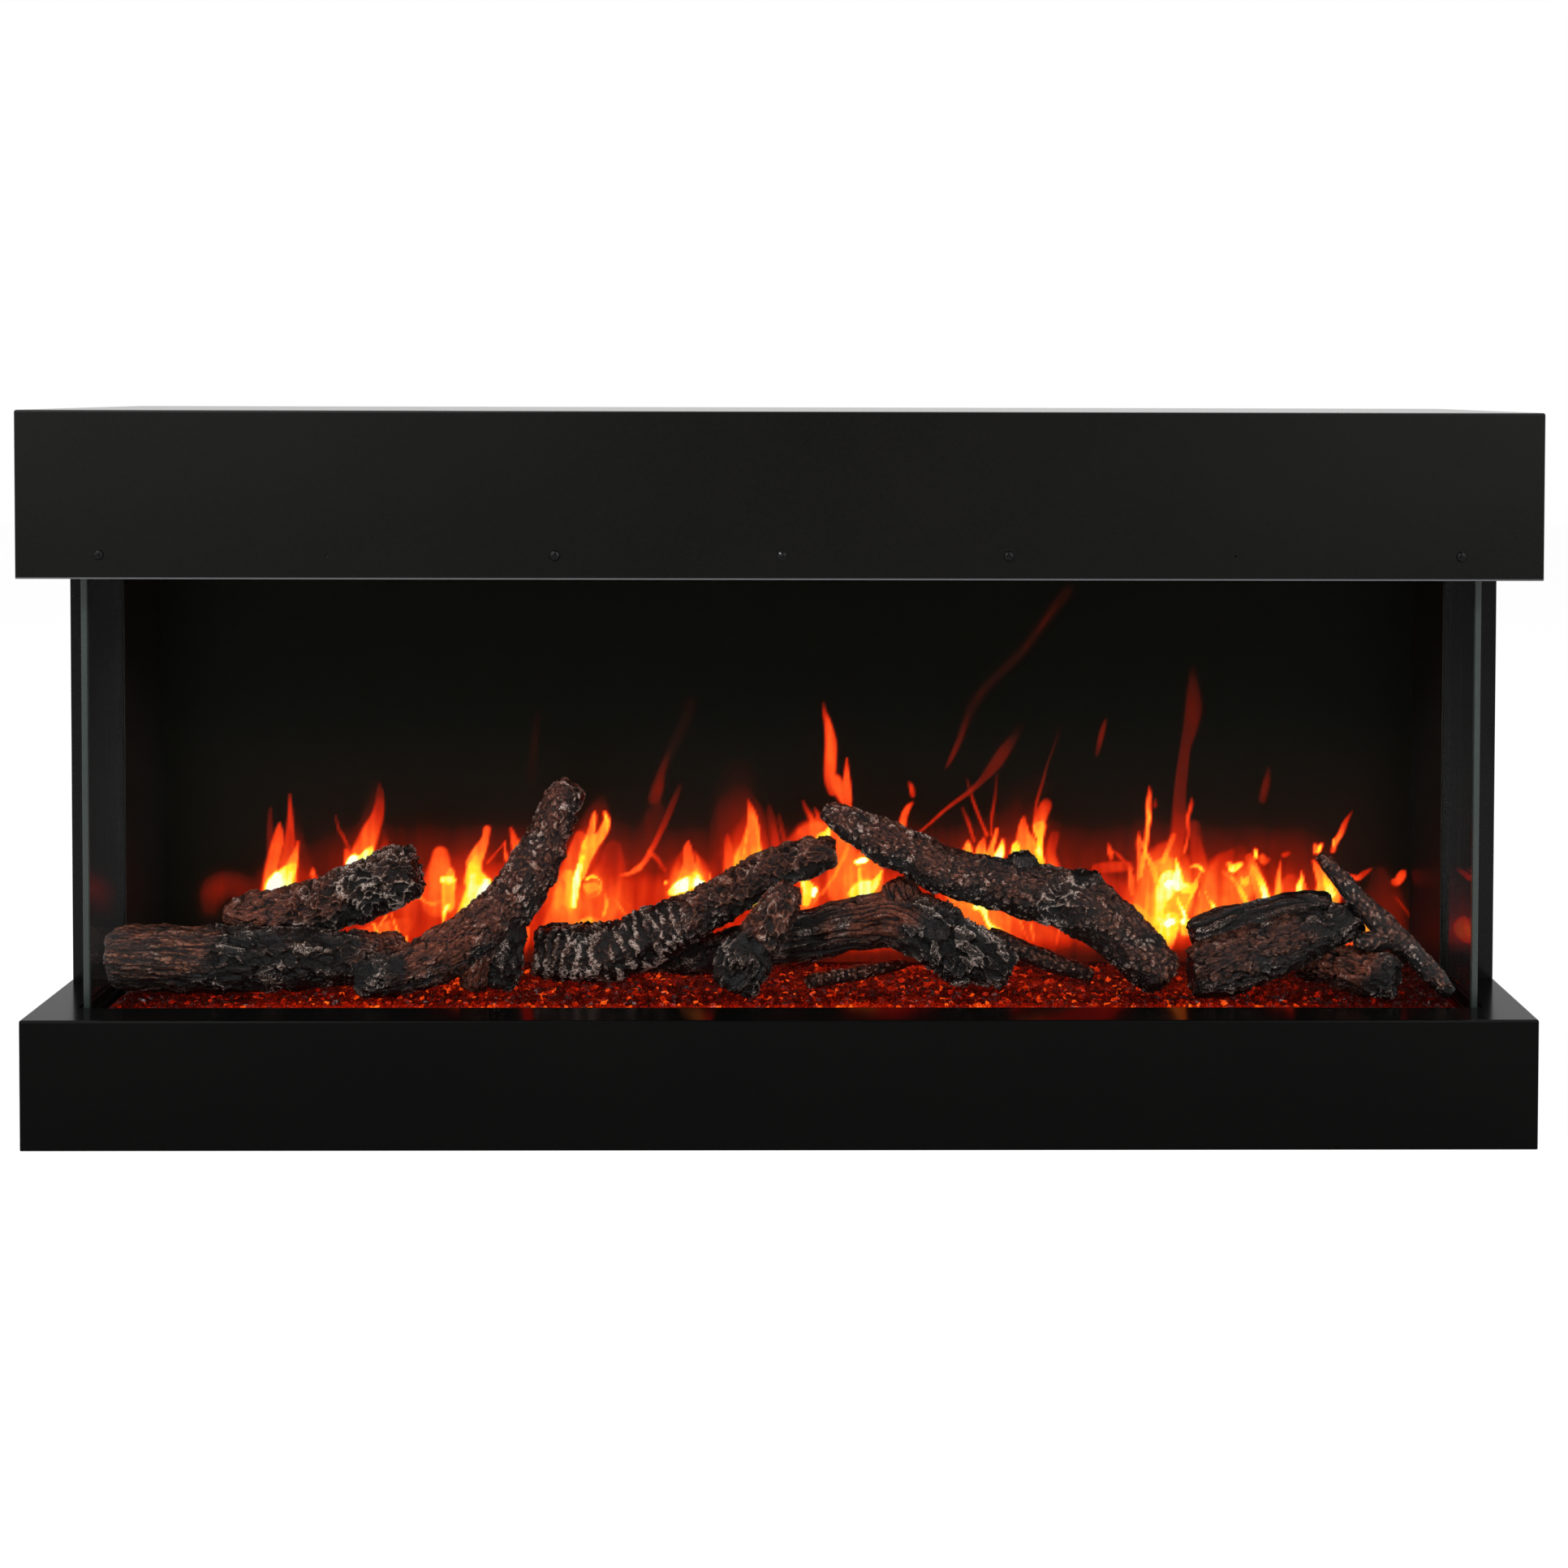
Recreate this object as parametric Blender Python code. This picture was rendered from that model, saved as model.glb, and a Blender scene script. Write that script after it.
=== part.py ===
"""A three-sided electric fireplace with a log set, modelled as separate pieces.

Lengths are in metres. X runs to the right, Y from the front to the back and Z up.
The origin is under the middle of the cabinet, on the surface that it stands on.
A setback is a distance behind the cabinet's front face.
"""
import math

import bmesh
import bpy
from mathutils import Matrix, Vector, noise
from mathutils.bvhtree import BVHTree

# Cabinet
WIDTH = 1.270
DEPTH = 0.362
BASE_HEIGHT = 0.1095
OPENING_HEIGHT = 0.3685
HOOD_HEIGHT = 0.140
SHEET = 0.0012
BEND_RADIUS = 0.0018
HEM_RADIUS = 0.0004
PAN_FLANGE = 0.012

# Gaps between pieces
FIT = 0.0003
OVERRUN = 0.004
WELD_DISTANCE = 0.000001

# Glass box
GLASS = 0.005
GLASS_SETBACK = 0.045
GLASS_INSET = 0.0405
GLASS_ARRIS = 0.0005
SLOT_GAP = 0.004
CHANNEL_WALL = 0.0012
CHANNEL_CLEARANCE = 0.0004
CHANNEL_FLANGE = 0.010
CHANNEL_LIP = 0.006
CHANNEL_SHELF = 0.012
FLOOR_DROP = 0.012

# Columns, recess and screen
COLUMN_SETBACK = 0.140
COLUMN_WIDTH = 0.0465
COLUMN_RETURN = 0.015
FLAME_CHAMBER_DEPTH = 0.108
SCREEN_THICKNESS = 0.003
FLOOR_BEHIND_SCREEN = 0.015

# Hood
SOFFIT_RECESS = 0.010
SOFFIT_FLANGE = 0.022
FASCIA_SCREW_HEIGHT = 0.020
FASCIA_SCREW_MARGIN = 0.0695
FASCIA_SIDE_HOLES = 3
SCREW_HEAD_RADIUS = 0.0044
SCREW_HEAD_HEIGHT = 0.0022
SCREW_SHANK_RADIUS = 0.0018
SCREW_LENGTH = 0.010
SCREW_HOLE_RADIUS = 0.0023
PILOT_HOLE_RADIUS = 0.0013
RIVET_BORE_RADIUS = 0.0014
RIVET_HEAD_RADIUS = 0.0037
RIVET_HEAD_HEIGHT = 0.0012

# Back cover and supply entry
VENT_LENGTH = 0.034
VENT_WIDTH = 0.005
VENT_PITCH_X = 0.044
VENT_PITCH_Z = 0.012
VENT_COLUMNS = 3
VENT_ROWS = 3
VENT_INSET = 0.215
BACK_SCREW_MARGIN = 0.011
BACK_SCREW_COLUMNS = 4
GLAND_INSET = 0.045
GLAND_RISE = 0.045
GLAND_RADIUS = 0.011
GLAND_BORE = 0.0045
GLAND_FLANGE = 0.003
GLAND_RIM = 0.0018
TERMINAL_WIDTH = 0.050
TERMINAL_DEPTH = 0.034
TERMINAL_HEIGHT = 0.046

# Ember bed
BED_END_GAP = 0.0125
BED_SETBACK = 0.055
BED_DEPTH = 0.135
TRAY_WALL = 0.0015
TRAY_HEIGHT = 0.0082
EMBER_CROWN = 0.0038
EMBER_ROUGHNESS = 0.0012
EMBER_LUMP = 0.030
EMBER_EDGE_SHARE = 0.35
EMBER_END_POWER = 6

# Log set
PILE_HEIGHT = 0.190
LOG_GIRTH = 0.060
SETTLE_STEP = 0.0005
BARK_LUMP = 0.016
BARK_DEPTH_SHARE = 0.11
BARK_SIDES = 9
# Each row of a limb holds four shares: along half the bed, back over the bed's depth,
# up the height of the pile, and of the thickest log's girth.
LOG_SHARES = {
    "front_left_log": (
        ((-1.016, 0.333, 0.143, 0.88), (-0.954, 0.333, 0.139, 0.95), (-0.856, 0.341, 0.130, 0.95),
         (-0.747, 0.385, 0.123, 0.88), (-0.655, 0.511, 0.113, 0.77), (-0.585, 0.615, 0.099, 0.65)),
    ),
    "raised_left_log": (
        ((-0.851, 0.630, 0.298, 0.46), (-0.799, 0.637, 0.308, 0.65), (-0.737, 0.644, 0.330, 0.75),
         (-0.661, 0.644, 0.406, 0.82), (-0.599, 0.644, 0.486, 0.82), (-0.571, 0.644, 0.513, 0.70)),
    ),
    "forked_trunk_log": (
        ((-0.639, 0.185, 0.090, 0.52), (-0.567, 0.222, 0.140, 0.59), (-0.496, 0.267, 0.232, 0.66),
         (-0.433, 0.304, 0.368, 0.76), (-0.387, 0.319, 0.552, 0.71), (-0.360, 0.326, 0.719, 0.61),
         (-0.336, 0.333, 0.886, 0.54), (-0.321, 0.333, 0.969, 0.47)),
        ((-0.423, 0.304, 0.312, 0.59), (-0.434, 0.311, 0.162, 0.54), (-0.446, 0.319, 0.033, 0.43)),
    ),
    "leaning_stick": (
        ((0.313, 0.541, 0.236, 0.22), (0.391, 0.526, 0.114, 0.31), (0.475, 0.511, 0.033, 0.24)),
    ),
    "broken_fork_log": (
        ((-0.194, 0.822, 0.071, 0.44), (-0.124, 0.807, 0.089, 0.56), (-0.035, 0.763, 0.147, 0.68),
         (0.041, 0.704, 0.202, 0.73), (0.117, 0.644, 0.265, 0.75), (0.179, 0.556, 0.302, 0.79),
         (0.235, 0.452, 0.232, 0.88), (0.265, 0.378, 0.120, 0.76), (0.250, 0.363, 0.033, 0.47)),
        ((0.247, 0.422, 0.199, 0.71), (0.296, 0.378, 0.132, 0.69), (0.334, 0.363, 0.085, 0.45)),
        ((0.182, 0.570, 0.326, 0.65), (0.169, 0.585, 0.476, 0.53)),
    ),
    "long_curved_log": (
        ((-0.388, 0.585, 0.123, 0.72), (-0.334, 0.600, 0.120, 0.82), (-0.271, 0.600, 0.136, 0.87),
         (-0.208, 0.585, 0.206, 0.82), (-0.145, 0.570, 0.304, 0.74), (-0.083, 0.556, 0.408, 0.65),
         (-0.020, 0.541, 0.524, 0.62), (0.042, 0.526, 0.594, 0.55), (0.078, 0.526, 0.606, 0.43)),
    ),
    "front_stub_log": (
        ((-0.075, 0.163, 0.050, 0.59), (-0.052, 0.170, 0.160, 0.68), (-0.023, 0.185, 0.312, 0.56),
         (-0.005, 0.200, 0.421, 0.47), (0.008, 0.215, 0.504, 0.33)),
    ),
    "leaning_branch_log": (
        ((0.064, 0.378, 0.810, 0.24), (0.098, 0.370, 0.751, 0.40), (0.142, 0.363, 0.684, 0.52),
         (0.191, 0.356, 0.618, 0.59), (0.252, 0.348, 0.537, 0.64), (0.326, 0.341, 0.486, 0.71),
         (0.400, 0.333, 0.434, 0.78), (0.455, 0.326, 0.376, 0.90), (0.498, 0.319, 0.272, 0.80),
         (0.534, 0.304, 0.155, 0.76), (0.566, 0.296, 0.052, 0.64)),
        ((0.357, 0.341, 0.512, 0.47), (0.353, 0.341, 0.624, 0.28)),
        ((0.449, 0.326, 0.439, 0.59), (0.444, 0.326, 0.533, 0.40)),
    ),
    "thin_front_stick": (
        ((0.037, 0.333, 0.020, 0.21), (0.104, 0.556, 0.022, 0.24), (0.187, 0.815, 0.026, 0.15)),
    ),
    "right_small_log": (
        ((0.793, 0.600, 0.082, 0.46), (0.837, 0.467, 0.094, 0.55), (0.888, 0.244, 0.087, 0.61),
         (0.919, 0.133, 0.081, 0.56)),
    ),
    "right_chunk_log": (
        ((0.611, 0.274, 0.142, 0.87), (0.657, 0.289, 0.158, 0.99), (0.719, 0.319, 0.216, 0.95),
         (0.783, 0.363, 0.280, 0.83), (0.841, 0.422, 0.323, 0.67), (0.877, 0.459, 0.321, 0.43)),
    ),
    "right_twig": (
        ((0.816, 0.422, 0.624, 0.17), (0.845, 0.385, 0.524, 0.26), (0.880, 0.341, 0.400, 0.31),
         (0.917, 0.289, 0.285, 0.40), (0.955, 0.237, 0.182, 0.33), (0.985, 0.185, 0.087, 0.30),
         (1.002, 0.156, 0.029, 0.21)),
        ((0.922, 0.289, 0.255, 0.31), (0.886, 0.215, 0.248, 0.28), (0.865, 0.185, 0.250, 0.21)),
    ),
}

# Flame drive
ROD_BEHIND_SCREEN = 0.046
ROD_RISE = 0.020
ROD_RADIUS = 0.004
ROD_END_MARGIN = 0.021
FLAP_REACH = 0.019
FLAP_WIDTH = 0.020
FLAP_THICKNESS = 0.0008
FLAP_STATIONS = 24
STENCIL_BEHIND_SCREEN = 0.010
STENCIL_HEIGHT = 0.200
LAMP_WIDTH = 0.014
LAMP_BOARD = 0.0016
LAMP_END_MARGIN = 0.037
LAMP_COUNT = 16
LAMP_RISE = 0.0012
BRACKET_FOOT = 0.024
BRACKET_BEHIND_SCREEN = 0.084
BRACKET_TOP_MARGIN = 0.018
FLAP_TURN_SHARE = 0.39
ROD_BUSH_RADIUS = 0.008
ROD_BUSH_LENGTH = 0.006
ROD_CLEARANCE = 0.0004
HANGER_WIDTH = 0.036
HANGER_FOOT = 0.018
FLICKER_MOTOR_RADIUS = 0.019
FLICKER_MOTOR_LENGTH = 0.016
FLICKER_HUB_RADIUS = 0.006
STENCIL_FLAMES = 9
STENCIL_MARGIN = 0.030
STENCIL_FLAME_SHARES = ((0.0, 0.0), (0.55, 0.10), (1.0, 0.34), (0.62, 0.60), (0.30, 0.82), (0.05, 1.0),
                        (-0.20, 0.72), (-0.85, 0.42), (-0.70, 0.14))
STENCIL_TALL_SHARES = (0.80, 1.0, 0.70, 0.92)
STENCIL_WIDE_SHARE = 0.40

# Fan heater
BLOWER_SETBACK = 0.070
BLOWER_RISE = 0.062
IMPELLER_RADIUS = 0.027
BLOWER_SCREW_MARGIN = 0.0385
IMPELLER_SHAFT_RADIUS = 0.003
BLADE_COUNT = 20
BLADE_CHORD = 0.009
BLADE_THICKNESS = 0.0008
BLADE_BOW = 0.0020
DISC_THICKNESS = 0.0016
SCROLL_GAP = 0.004
OUTLET_FRONT = 0.009
OUTLET_BACK = 0.035
GRILLE_LAP = 0.0025
GRILLE_THICKNESS = 0.0016
GRILLE_SLOTS = 18
GRILLE_BAR = 0.0045
SCROLL_START = math.radians(-12.0)
TONGUE_UPRIGHT = 0.018
TONGUE_LIP = 0.006
BEARING_RADIUS = 0.008
BEARING_LENGTH = 0.006
SHAFT_CLEARANCE = 0.0004
SHAFT_OVERHANG = 0.012
MOTOR_WIDTH = 0.028
MOTOR_STACK = 0.046
MOTOR_ARRIS = 0.0016
MOTOR_COIL_RADIUS = 0.012
MOTOR_COIL_LENGTH = 0.025
HEATER_FOLDS = 22
HEATER_RIBBON = 0.0006
HEATER_MARGIN = 0.0013
HEATER_HEIGHT = 0.012
HEATER_RISE = 0.006
CUTOUT_RADIUS = 0.007
CUTOUT_LENGTH = 0.006

# Switch, board, supply
SWITCH_INSET = 0.115
SWITCH_SETBACK = 0.022
SWITCH_LENGTH = 0.021
SWITCH_DEPTH = 0.015
SWITCH_RIM = 0.0012
SWITCH_WALL = 0.0025
SWITCH_BODY_HEIGHT = 0.016
ROCKER_TILT = math.radians(8.0)
BOARD_INSET = 0.295
BOARD_SETBACK = 0.180
BOARD_WIDTH = 0.130
BOARD_DEPTH = 0.080
BOARD_THICKNESS = 0.0016
STANDOFF_RADIUS = 0.003
STANDOFF_HEIGHT = 0.010
STANDOFF_INSET = 0.006
SUPPLY_FROM_BOARD = 0.210
SUPPLY_WIDTH = 0.150
SUPPLY_DEPTH = 0.080
SUPPLY_HEIGHT = 0.036
SUPPLY_ARRIS = 0.002
RELAY_SHARES = ((-0.28, 0.10, 0.22, 0.22), (0.02, 0.08, 0.16, 0.28), (0.27, -0.12, 0.20, 0.30),
                (-0.14, -0.26, 0.30, 0.14))
RELAY_HEIGHT = 0.012
ROCKER_CLEARANCE = 0.0005
ROCKER_RISE = 0.0018
ROCKER_THICKNESS = 0.0030
ROCKER_PIVOT = 0.0014

# Places worked out from the sizes above
FRONT = -DEPTH / 2
HALF_WIDTH = WIDTH / 2
HOOD_BOTTOM = BASE_HEIGHT + OPENING_HEIGHT
TOP = HOOD_BOTTOM + HOOD_HEIGHT
INNER_HALF = HALF_WIDTH - SHEET - FIT
COLUMN_INNER = INNER_HALF - COLUMN_WIDTH
SHELL_BACK = DEPTH - SHEET - FIT
SOFFIT_BOTTOM = HOOD_BOTTOM + SOFFIT_RECESS
SOFFIT_TOP = SOFFIT_BOTTOM + SHEET
GLASS_HALF = HALF_WIDTH - GLASS_INSET
FLOOR_TOP = BASE_HEIGHT - FLOOR_DROP
FLOOR_HALF = GLASS_HALF - GLASS - CHANNEL_CLEARANCE - CHANNEL_WALL - FIT
CHANNEL_FLOOR = FLOOR_TOP - SHEET - FIT
FLOOR_FRONT = GLASS_SETBACK + GLASS + CHANNEL_CLEARANCE + CHANNEL_WALL + FIT
PAN_TOP = SHEET
FASCIA_SCREW_PITCH = (HALF_WIDTH - FASCIA_SCREW_MARGIN) / FASCIA_SIDE_HOLES
IMPELLER_HALF_LENGTH = FASCIA_SCREW_PITCH - BLOWER_SCREW_MARGIN
OUTLET_HALF = IMPELLER_HALF_LENGTH + SCROLL_GAP
SCREEN_SETBACK = DEPTH - FLAME_CHAMBER_DEPTH
STENCIL_SETBACK = SCREEN_SETBACK + STENCIL_BEHIND_SCREEN
ROD_SETBACK = SCREEN_SETBACK + ROD_BEHIND_SCREEN
BRACKET_SETBACK = SCREEN_SETBACK + BRACKET_BEHIND_SCREEN
BED_HALF_LENGTH = GLASS_HALF - GLASS - BED_END_GAP
ROD_HALF_LENGTH = BED_HALF_LENGTH - ROD_END_MARGIN
LAMP_HALF_LENGTH = BED_HALF_LENGTH - LAMP_END_MARGIN
SWITCH_X = HALF_WIDTH - SWITCH_INSET
GLAND_X = HALF_WIDTH - GLAND_INSET
VENT_X = HALF_WIDTH - VENT_INSET
BOARD_X = BOARD_INSET - HALF_WIDTH
SUPPLY_X = BOARD_X + SUPPLY_FROM_BOARD

SIDE_SHARES = {"left": -1.0, "right": 1.0}


# Tools for meshes and objects


def clear_scene():
    """Remove every object of the file that this script starts in."""
    for item in list(bpy.data.objects):
        bpy.data.objects.remove(item, do_unlink=True)


def finish(name, colour, roughness, metallic=0.0):
    """A plain painted, moulded or metal finish."""
    material = bpy.data.materials.new(name)
    material.use_nodes = True
    shader = material.node_tree.nodes["Principled BSDF"]
    shader.inputs["Base Color"].default_value = (*colour, 1.0)
    shader.inputs["Roughness"].default_value = roughness
    shader.inputs["Metallic"].default_value = metallic
    return material


def see_through(material, transmission, alpha=1.0):
    """Let light through a finish."""
    shader = material.node_tree.nodes["Principled BSDF"]
    shader.inputs["Transmission Weight"].default_value = transmission
    shader.inputs["Alpha"].default_value = alpha
    return material


def group(name, parent=None):
    """An empty that carries the pieces of one assembly."""
    empty = bpy.data.objects.new(name, None)
    bpy.context.scene.collection.objects.link(empty)
    empty.parent = parent
    return empty


def add(name, shape, material, parent, x=0.0, setback=0.0, z=0.0):
    """Make one named piece of a shape and put it in its place."""
    mesh = bpy.data.meshes.new(name)
    shape.to_mesh(mesh)
    shape.free()
    if material is not None:
        mesh.materials.append(material)
    piece = bpy.data.objects.new(name, mesh)
    bpy.context.scene.collection.objects.link(piece)
    piece.location = (x, FRONT + setback, z)
    piece.parent = parent
    return piece


def smooth(piece, angle=math.radians(32.0)):
    """Shade a round piece smooth, with its sharp edges kept."""
    piece.data.shade_smooth()
    piece.data.set_sharp_from_angle(angle=angle)
    return piece


def guide(name, shape, parent, **place):
    """A hidden shape that only cuts or joins others."""
    hidden = add(name, shape, None, parent, **place)
    hidden.hide_render = True
    hidden.display_type = "WIRE"
    return hidden


def combine(piece, hidden, operation):
    """Cut a piece by a hidden shape, or join the shape to it."""
    step = piece.modifiers.new(operation.title(), "BOOLEAN")
    step.operation = operation
    step.solver = "EXACT"
    step.object = hidden
    return piece


def cut(piece, shape, **place):
    """Take a shape out of a piece."""
    return combine(piece, guide(piece.name + "_cut", shape, piece.parent, **place), "DIFFERENCE")


def block(width, depth, height):
    """A box over the origin: centred from side to side, with its front and foot at zero."""
    shape = bmesh.new()
    bmesh.ops.create_cube(shape, size=1.0)
    bmesh.ops.scale(shape, vec=(width, depth, height), verts=shape.verts)
    bmesh.ops.translate(shape, vec=(0.0, depth / 2, height / 2), verts=shape.verts)
    return shape


def moved(shape, x=0.0, y=0.0, z=0.0):
    """Shift a shape."""
    bmesh.ops.translate(shape, vec=(x, y, z), verts=shape.verts)
    return shape


def turned(shape, angle, axis):
    """Turn a shape about an axis through the origin."""
    bmesh.ops.rotate(shape, cent=(0.0, 0.0, 0.0), matrix=Matrix.Rotation(angle, 3, axis), verts=shape.verts)
    return shape


def gathered(shapes):
    """Several shapes as one, without joining their walls."""
    whole = bmesh.new()
    for shape in shapes:
        mesh = bpy.data.meshes.new("gathered")
        shape.to_mesh(mesh)
        shape.free()
        whole.from_mesh(mesh)
        bpy.data.meshes.remove(mesh)
    return whole


def bevelled(shape, radius, segments=1, chosen=None):
    """Break the chosen edges of a shape, or all of them."""
    edges = [edge for edge in shape.edges if chosen is None or chosen(edge)]
    bmesh.ops.bevel(shape, geom=edges, offset=radius, offset_type="OFFSET", segments=segments,
                    profile=0.5, affect="EDGES", material=-1)
    return shape


def lifted(point, axis):
    """A point of an outline as a point in space, on the plane across an axis."""
    if axis == "X":
        return (0.0, point[0], point[1])
    if axis == "Y":
        return (point[0], 0.0, point[1])
    return (point[0], point[1], 0.0)


def extrusion(outline, axis, length):
    """An outline carried along an axis for a length, centred on the origin plane."""
    shape = bmesh.new()
    face = shape.faces.new([shape.verts.new(lifted(point, axis)) for point in outline])
    grown = bmesh.ops.extrude_face_region(shape, geom=[face])
    step = Vector((float(axis == "X"), float(axis == "Y"), float(axis == "Z"))) * length
    tips = [item for item in grown["geom"] if isinstance(item, bmesh.types.BMVert)]
    bmesh.ops.translate(shape, vec=step, verts=tips)
    bmesh.ops.translate(shape, vec=-step / 2, verts=shape.verts)
    bmesh.ops.recalc_face_normals(shape, faces=shape.faces)
    return shape


def sheet_outline(points, thickness):
    """The closed outline of a bent sheet, whose wall lies to the left of its bend line."""
    bends = [Vector(point) for point in points]
    normals = []
    for start, end in zip(bends, bends[1:]):
        along = (end - start).normalized()
        normals.append(Vector((-along.y, along.x)))
    inner = []
    for index, bend in enumerate(bends):
        before = normals[max(index - 1, 0)]
        after = normals[min(index, len(normals) - 1)]
        inner.append(bend + (before + after) / (1.0 + before.dot(after)) * thickness)
    return [tuple(bend) for bend in bends] + [tuple(point) for point in reversed(inner)]


def lathed(profile, axis, steps):
    """A profile of (radius, height) points turned round an axis."""
    shape = bmesh.new()
    verts = [shape.verts.new((radius, 0.0, height)) for radius, height in profile]
    edges = [shape.edges.new(pair) for pair in zip(verts, verts[1:])]
    bmesh.ops.spin(shape, geom=verts + edges, cent=(0.0, 0.0, 0.0), axis=(0.0, 0.0, 1.0),
                   angle=math.tau, steps=steps, use_merge=True, use_duplicate=False)
    bmesh.ops.remove_doubles(shape, verts=shape.verts, dist=WELD_DISTANCE)
    bmesh.ops.recalc_face_normals(shape, faces=shape.faces)
    if axis == "X":
        turned(shape, math.radians(90.0), "Y")
    if axis == "Y":
        turned(shape, math.radians(90.0), "X")
    return shape


def rod(radius, length, axis, steps=12):
    """A round bar along an axis from the origin. Along Y it runs to the front."""
    return lathed([(0.0, 0.0), (radius, 0.0), (radius, length), (0.0, length)], axis, steps)


def tube(outer, inner, length, axis, steps=16):
    """A round bar with a bore."""
    ring = [(outer, 0.0), (outer, length), (inner, length), (inner, 0.0), (outer, 0.0)]
    return lathed(ring, axis, steps)


def open_box(width, depth, height, missing):
    """The walls of a box as a sheet without thickness, less the walls that face the missing ways."""
    shape = block(width, depth, height)
    doomed = [face for face in shape.faces if any(face.normal.dot(Vector(way)) > 0.9 for way in missing)]
    bmesh.ops.delete(shape, geom=doomed, context="FACES")
    return bevelled(shape, BEND_RADIUS, 2, lambda edge: len(edge.link_faces) == 2)


def give_thickness(piece, thickness):
    """Turn a folded sheet into a solid wall, inwards from its faces."""
    wall = piece.modifiers.new("Wall", "SOLIDIFY")
    wall.thickness = thickness
    wall.offset = -1.0
    wall.use_even_offset = True
    return piece


def hem(piece):
    """Round the cut edges of a sheet a little."""
    edge = piece.modifiers.new("Hem", "BEVEL")
    edge.width = HEM_RADIUS
    edge.segments = 1
    edge.limit_method = "ANGLE"
    edge.angle_limit = math.radians(70.0)
    return piece


def around(ring):
    """The neighbouring pairs of a closed ring."""
    return list(zip(ring, ring[1:] + ring[:1]))


def bridged(shape, rings):
    """Join rings of points, one after the other, and close both ends."""
    for first, second in zip(rings, rings[1:]):
        edges = [shape.edges.get(pair) for pair in around(first) + around(second)]
        bmesh.ops.bridge_loops(shape, edges=edges)
    for ring in (rings[0], rings[-1]):
        shape.faces.new(ring)
    bmesh.ops.recalc_face_normals(shape, faces=shape.faces)
    return shape


DOWN, UP, BACK = (0.0, 0.0, -1.0), (0.0, 0.0, 1.0), (0.0, 1.0, 0.0)


# Finishes


def powder_coat():
    return finish("black_powder_coat", (0.010, 0.010, 0.010), 0.45)


def zinc_steel():
    return finish("zinc_plated_steel", (0.55, 0.56, 0.57), 0.35, 1.0)


def black_oxide():
    return finish("black_oxide_steel", (0.015, 0.015, 0.016), 0.35, 1.0)


def clear_glass():
    return see_through(finish("clear_glass", (0.85, 0.93, 0.90), 0.02), 1.0, 0.35)


def smoked_acrylic():
    return finish("smoked_acrylic", (0.006, 0.006, 0.005), 0.25)


def ember_glass():
    return finish("ember_glass", (0.60, 0.07, 0.01), 0.20)


def tray_acrylic():
    return finish("red_acrylic", (0.35, 0.03, 0.01), 0.30)


def bark_resin():
    return finish("painted_bark_resin", (0.060, 0.032, 0.024), 0.60)


def board_laminate():
    return finish("board_laminate", (0.03, 0.12, 0.05), 0.50)


def lamp_board_white():
    return finish("white_lamp_board", (0.75, 0.75, 0.72), 0.45)


def black_nylon():
    return finish("black_nylon", (0.02, 0.02, 0.02), 0.50)


def bearing_rubber():
    return finish("bearing_rubber", (0.02, 0.02, 0.02), 0.80)


def aluminium_sheet():
    return finish("aluminium_sheet", (0.80, 0.80, 0.80), 0.30, 1.0)


def resistance_alloy():
    return finish("resistance_alloy", (0.45, 0.42, 0.38), 0.40, 1.0)


def motor_steel():
    return finish("motor_steel", (0.35, 0.35, 0.36), 0.45, 1.0)


# Cabinet


def base_shell(cabinet):
    """Front apron, side aprons and ledge, folded from one sheet and cut out for the glass box."""
    folded = open_box(WIDTH, SHELL_BACK, BASE_HEIGHT, (DOWN, BACK))
    shell = add("base_shell", folded, powder_coat(), cabinet)
    give_thickness(shell, SHEET)
    hem(shell)
    width = 2 * (GLASS_HALF + SLOT_GAP)
    opening = block(width, SHELL_BACK, 2 * OVERRUN)
    return cut(shell, opening, setback=GLASS_SETBACK - SLOT_GAP, z=BASE_HEIGHT - OVERRUN)


def base_pan(cabinet):
    """The floor of the cabinet, a pan with turned-up edges."""
    width = 2 * INNER_HALF
    pan = open_box(width, SHELL_BACK - SHEET - FIT, PAN_FLANGE, (UP, BACK))
    return give_thickness(add("base_pan", pan, zinc_steel(), cabinet, setback=SHEET + FIT), SHEET)


def fascia_places():
    """Distances along the fascia from its middle, in steps of the fastener pitch."""
    return [step * FASCIA_SCREW_PITCH for step in range(-FASCIA_SIDE_HOLES, FASCIA_SIDE_HOLES + 1)]


def fascia_hole_radius(index):
    """Screws, pilot holes and the middle rivet take turns along the fascia."""
    if index == FASCIA_SIDE_HOLES:
        return RIVET_BORE_RADIUS
    return PILOT_HOLE_RADIUS if index in (1, 2 * FASCIA_SIDE_HOLES - 1) else SCREW_HOLE_RADIUS


def fascia_holes(depth):
    """The row of holes near the fascia's lower edge."""
    drills = []
    for index, x in enumerate(fascia_places()):
        drill = rod(fascia_hole_radius(index), depth, "Y", 8)
        drills.append(moved(drill, x=x, y=depth / 2))
    return gathered(drills)


def hood_shell(cabinet):
    """Fascia, sides and top of the hood, folded from one sheet."""
    folded = open_box(WIDTH, SHELL_BACK, HOOD_HEIGHT, (DOWN, BACK))
    shell = add("hood_shell", folded, powder_coat(), cabinet, z=HOOD_BOTTOM)
    give_thickness(shell, SHEET)
    hem(shell)
    return cut(shell, fascia_holes(4 * SHEET), z=HOOD_BOTTOM + FASCIA_SCREW_HEIGHT)


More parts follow.
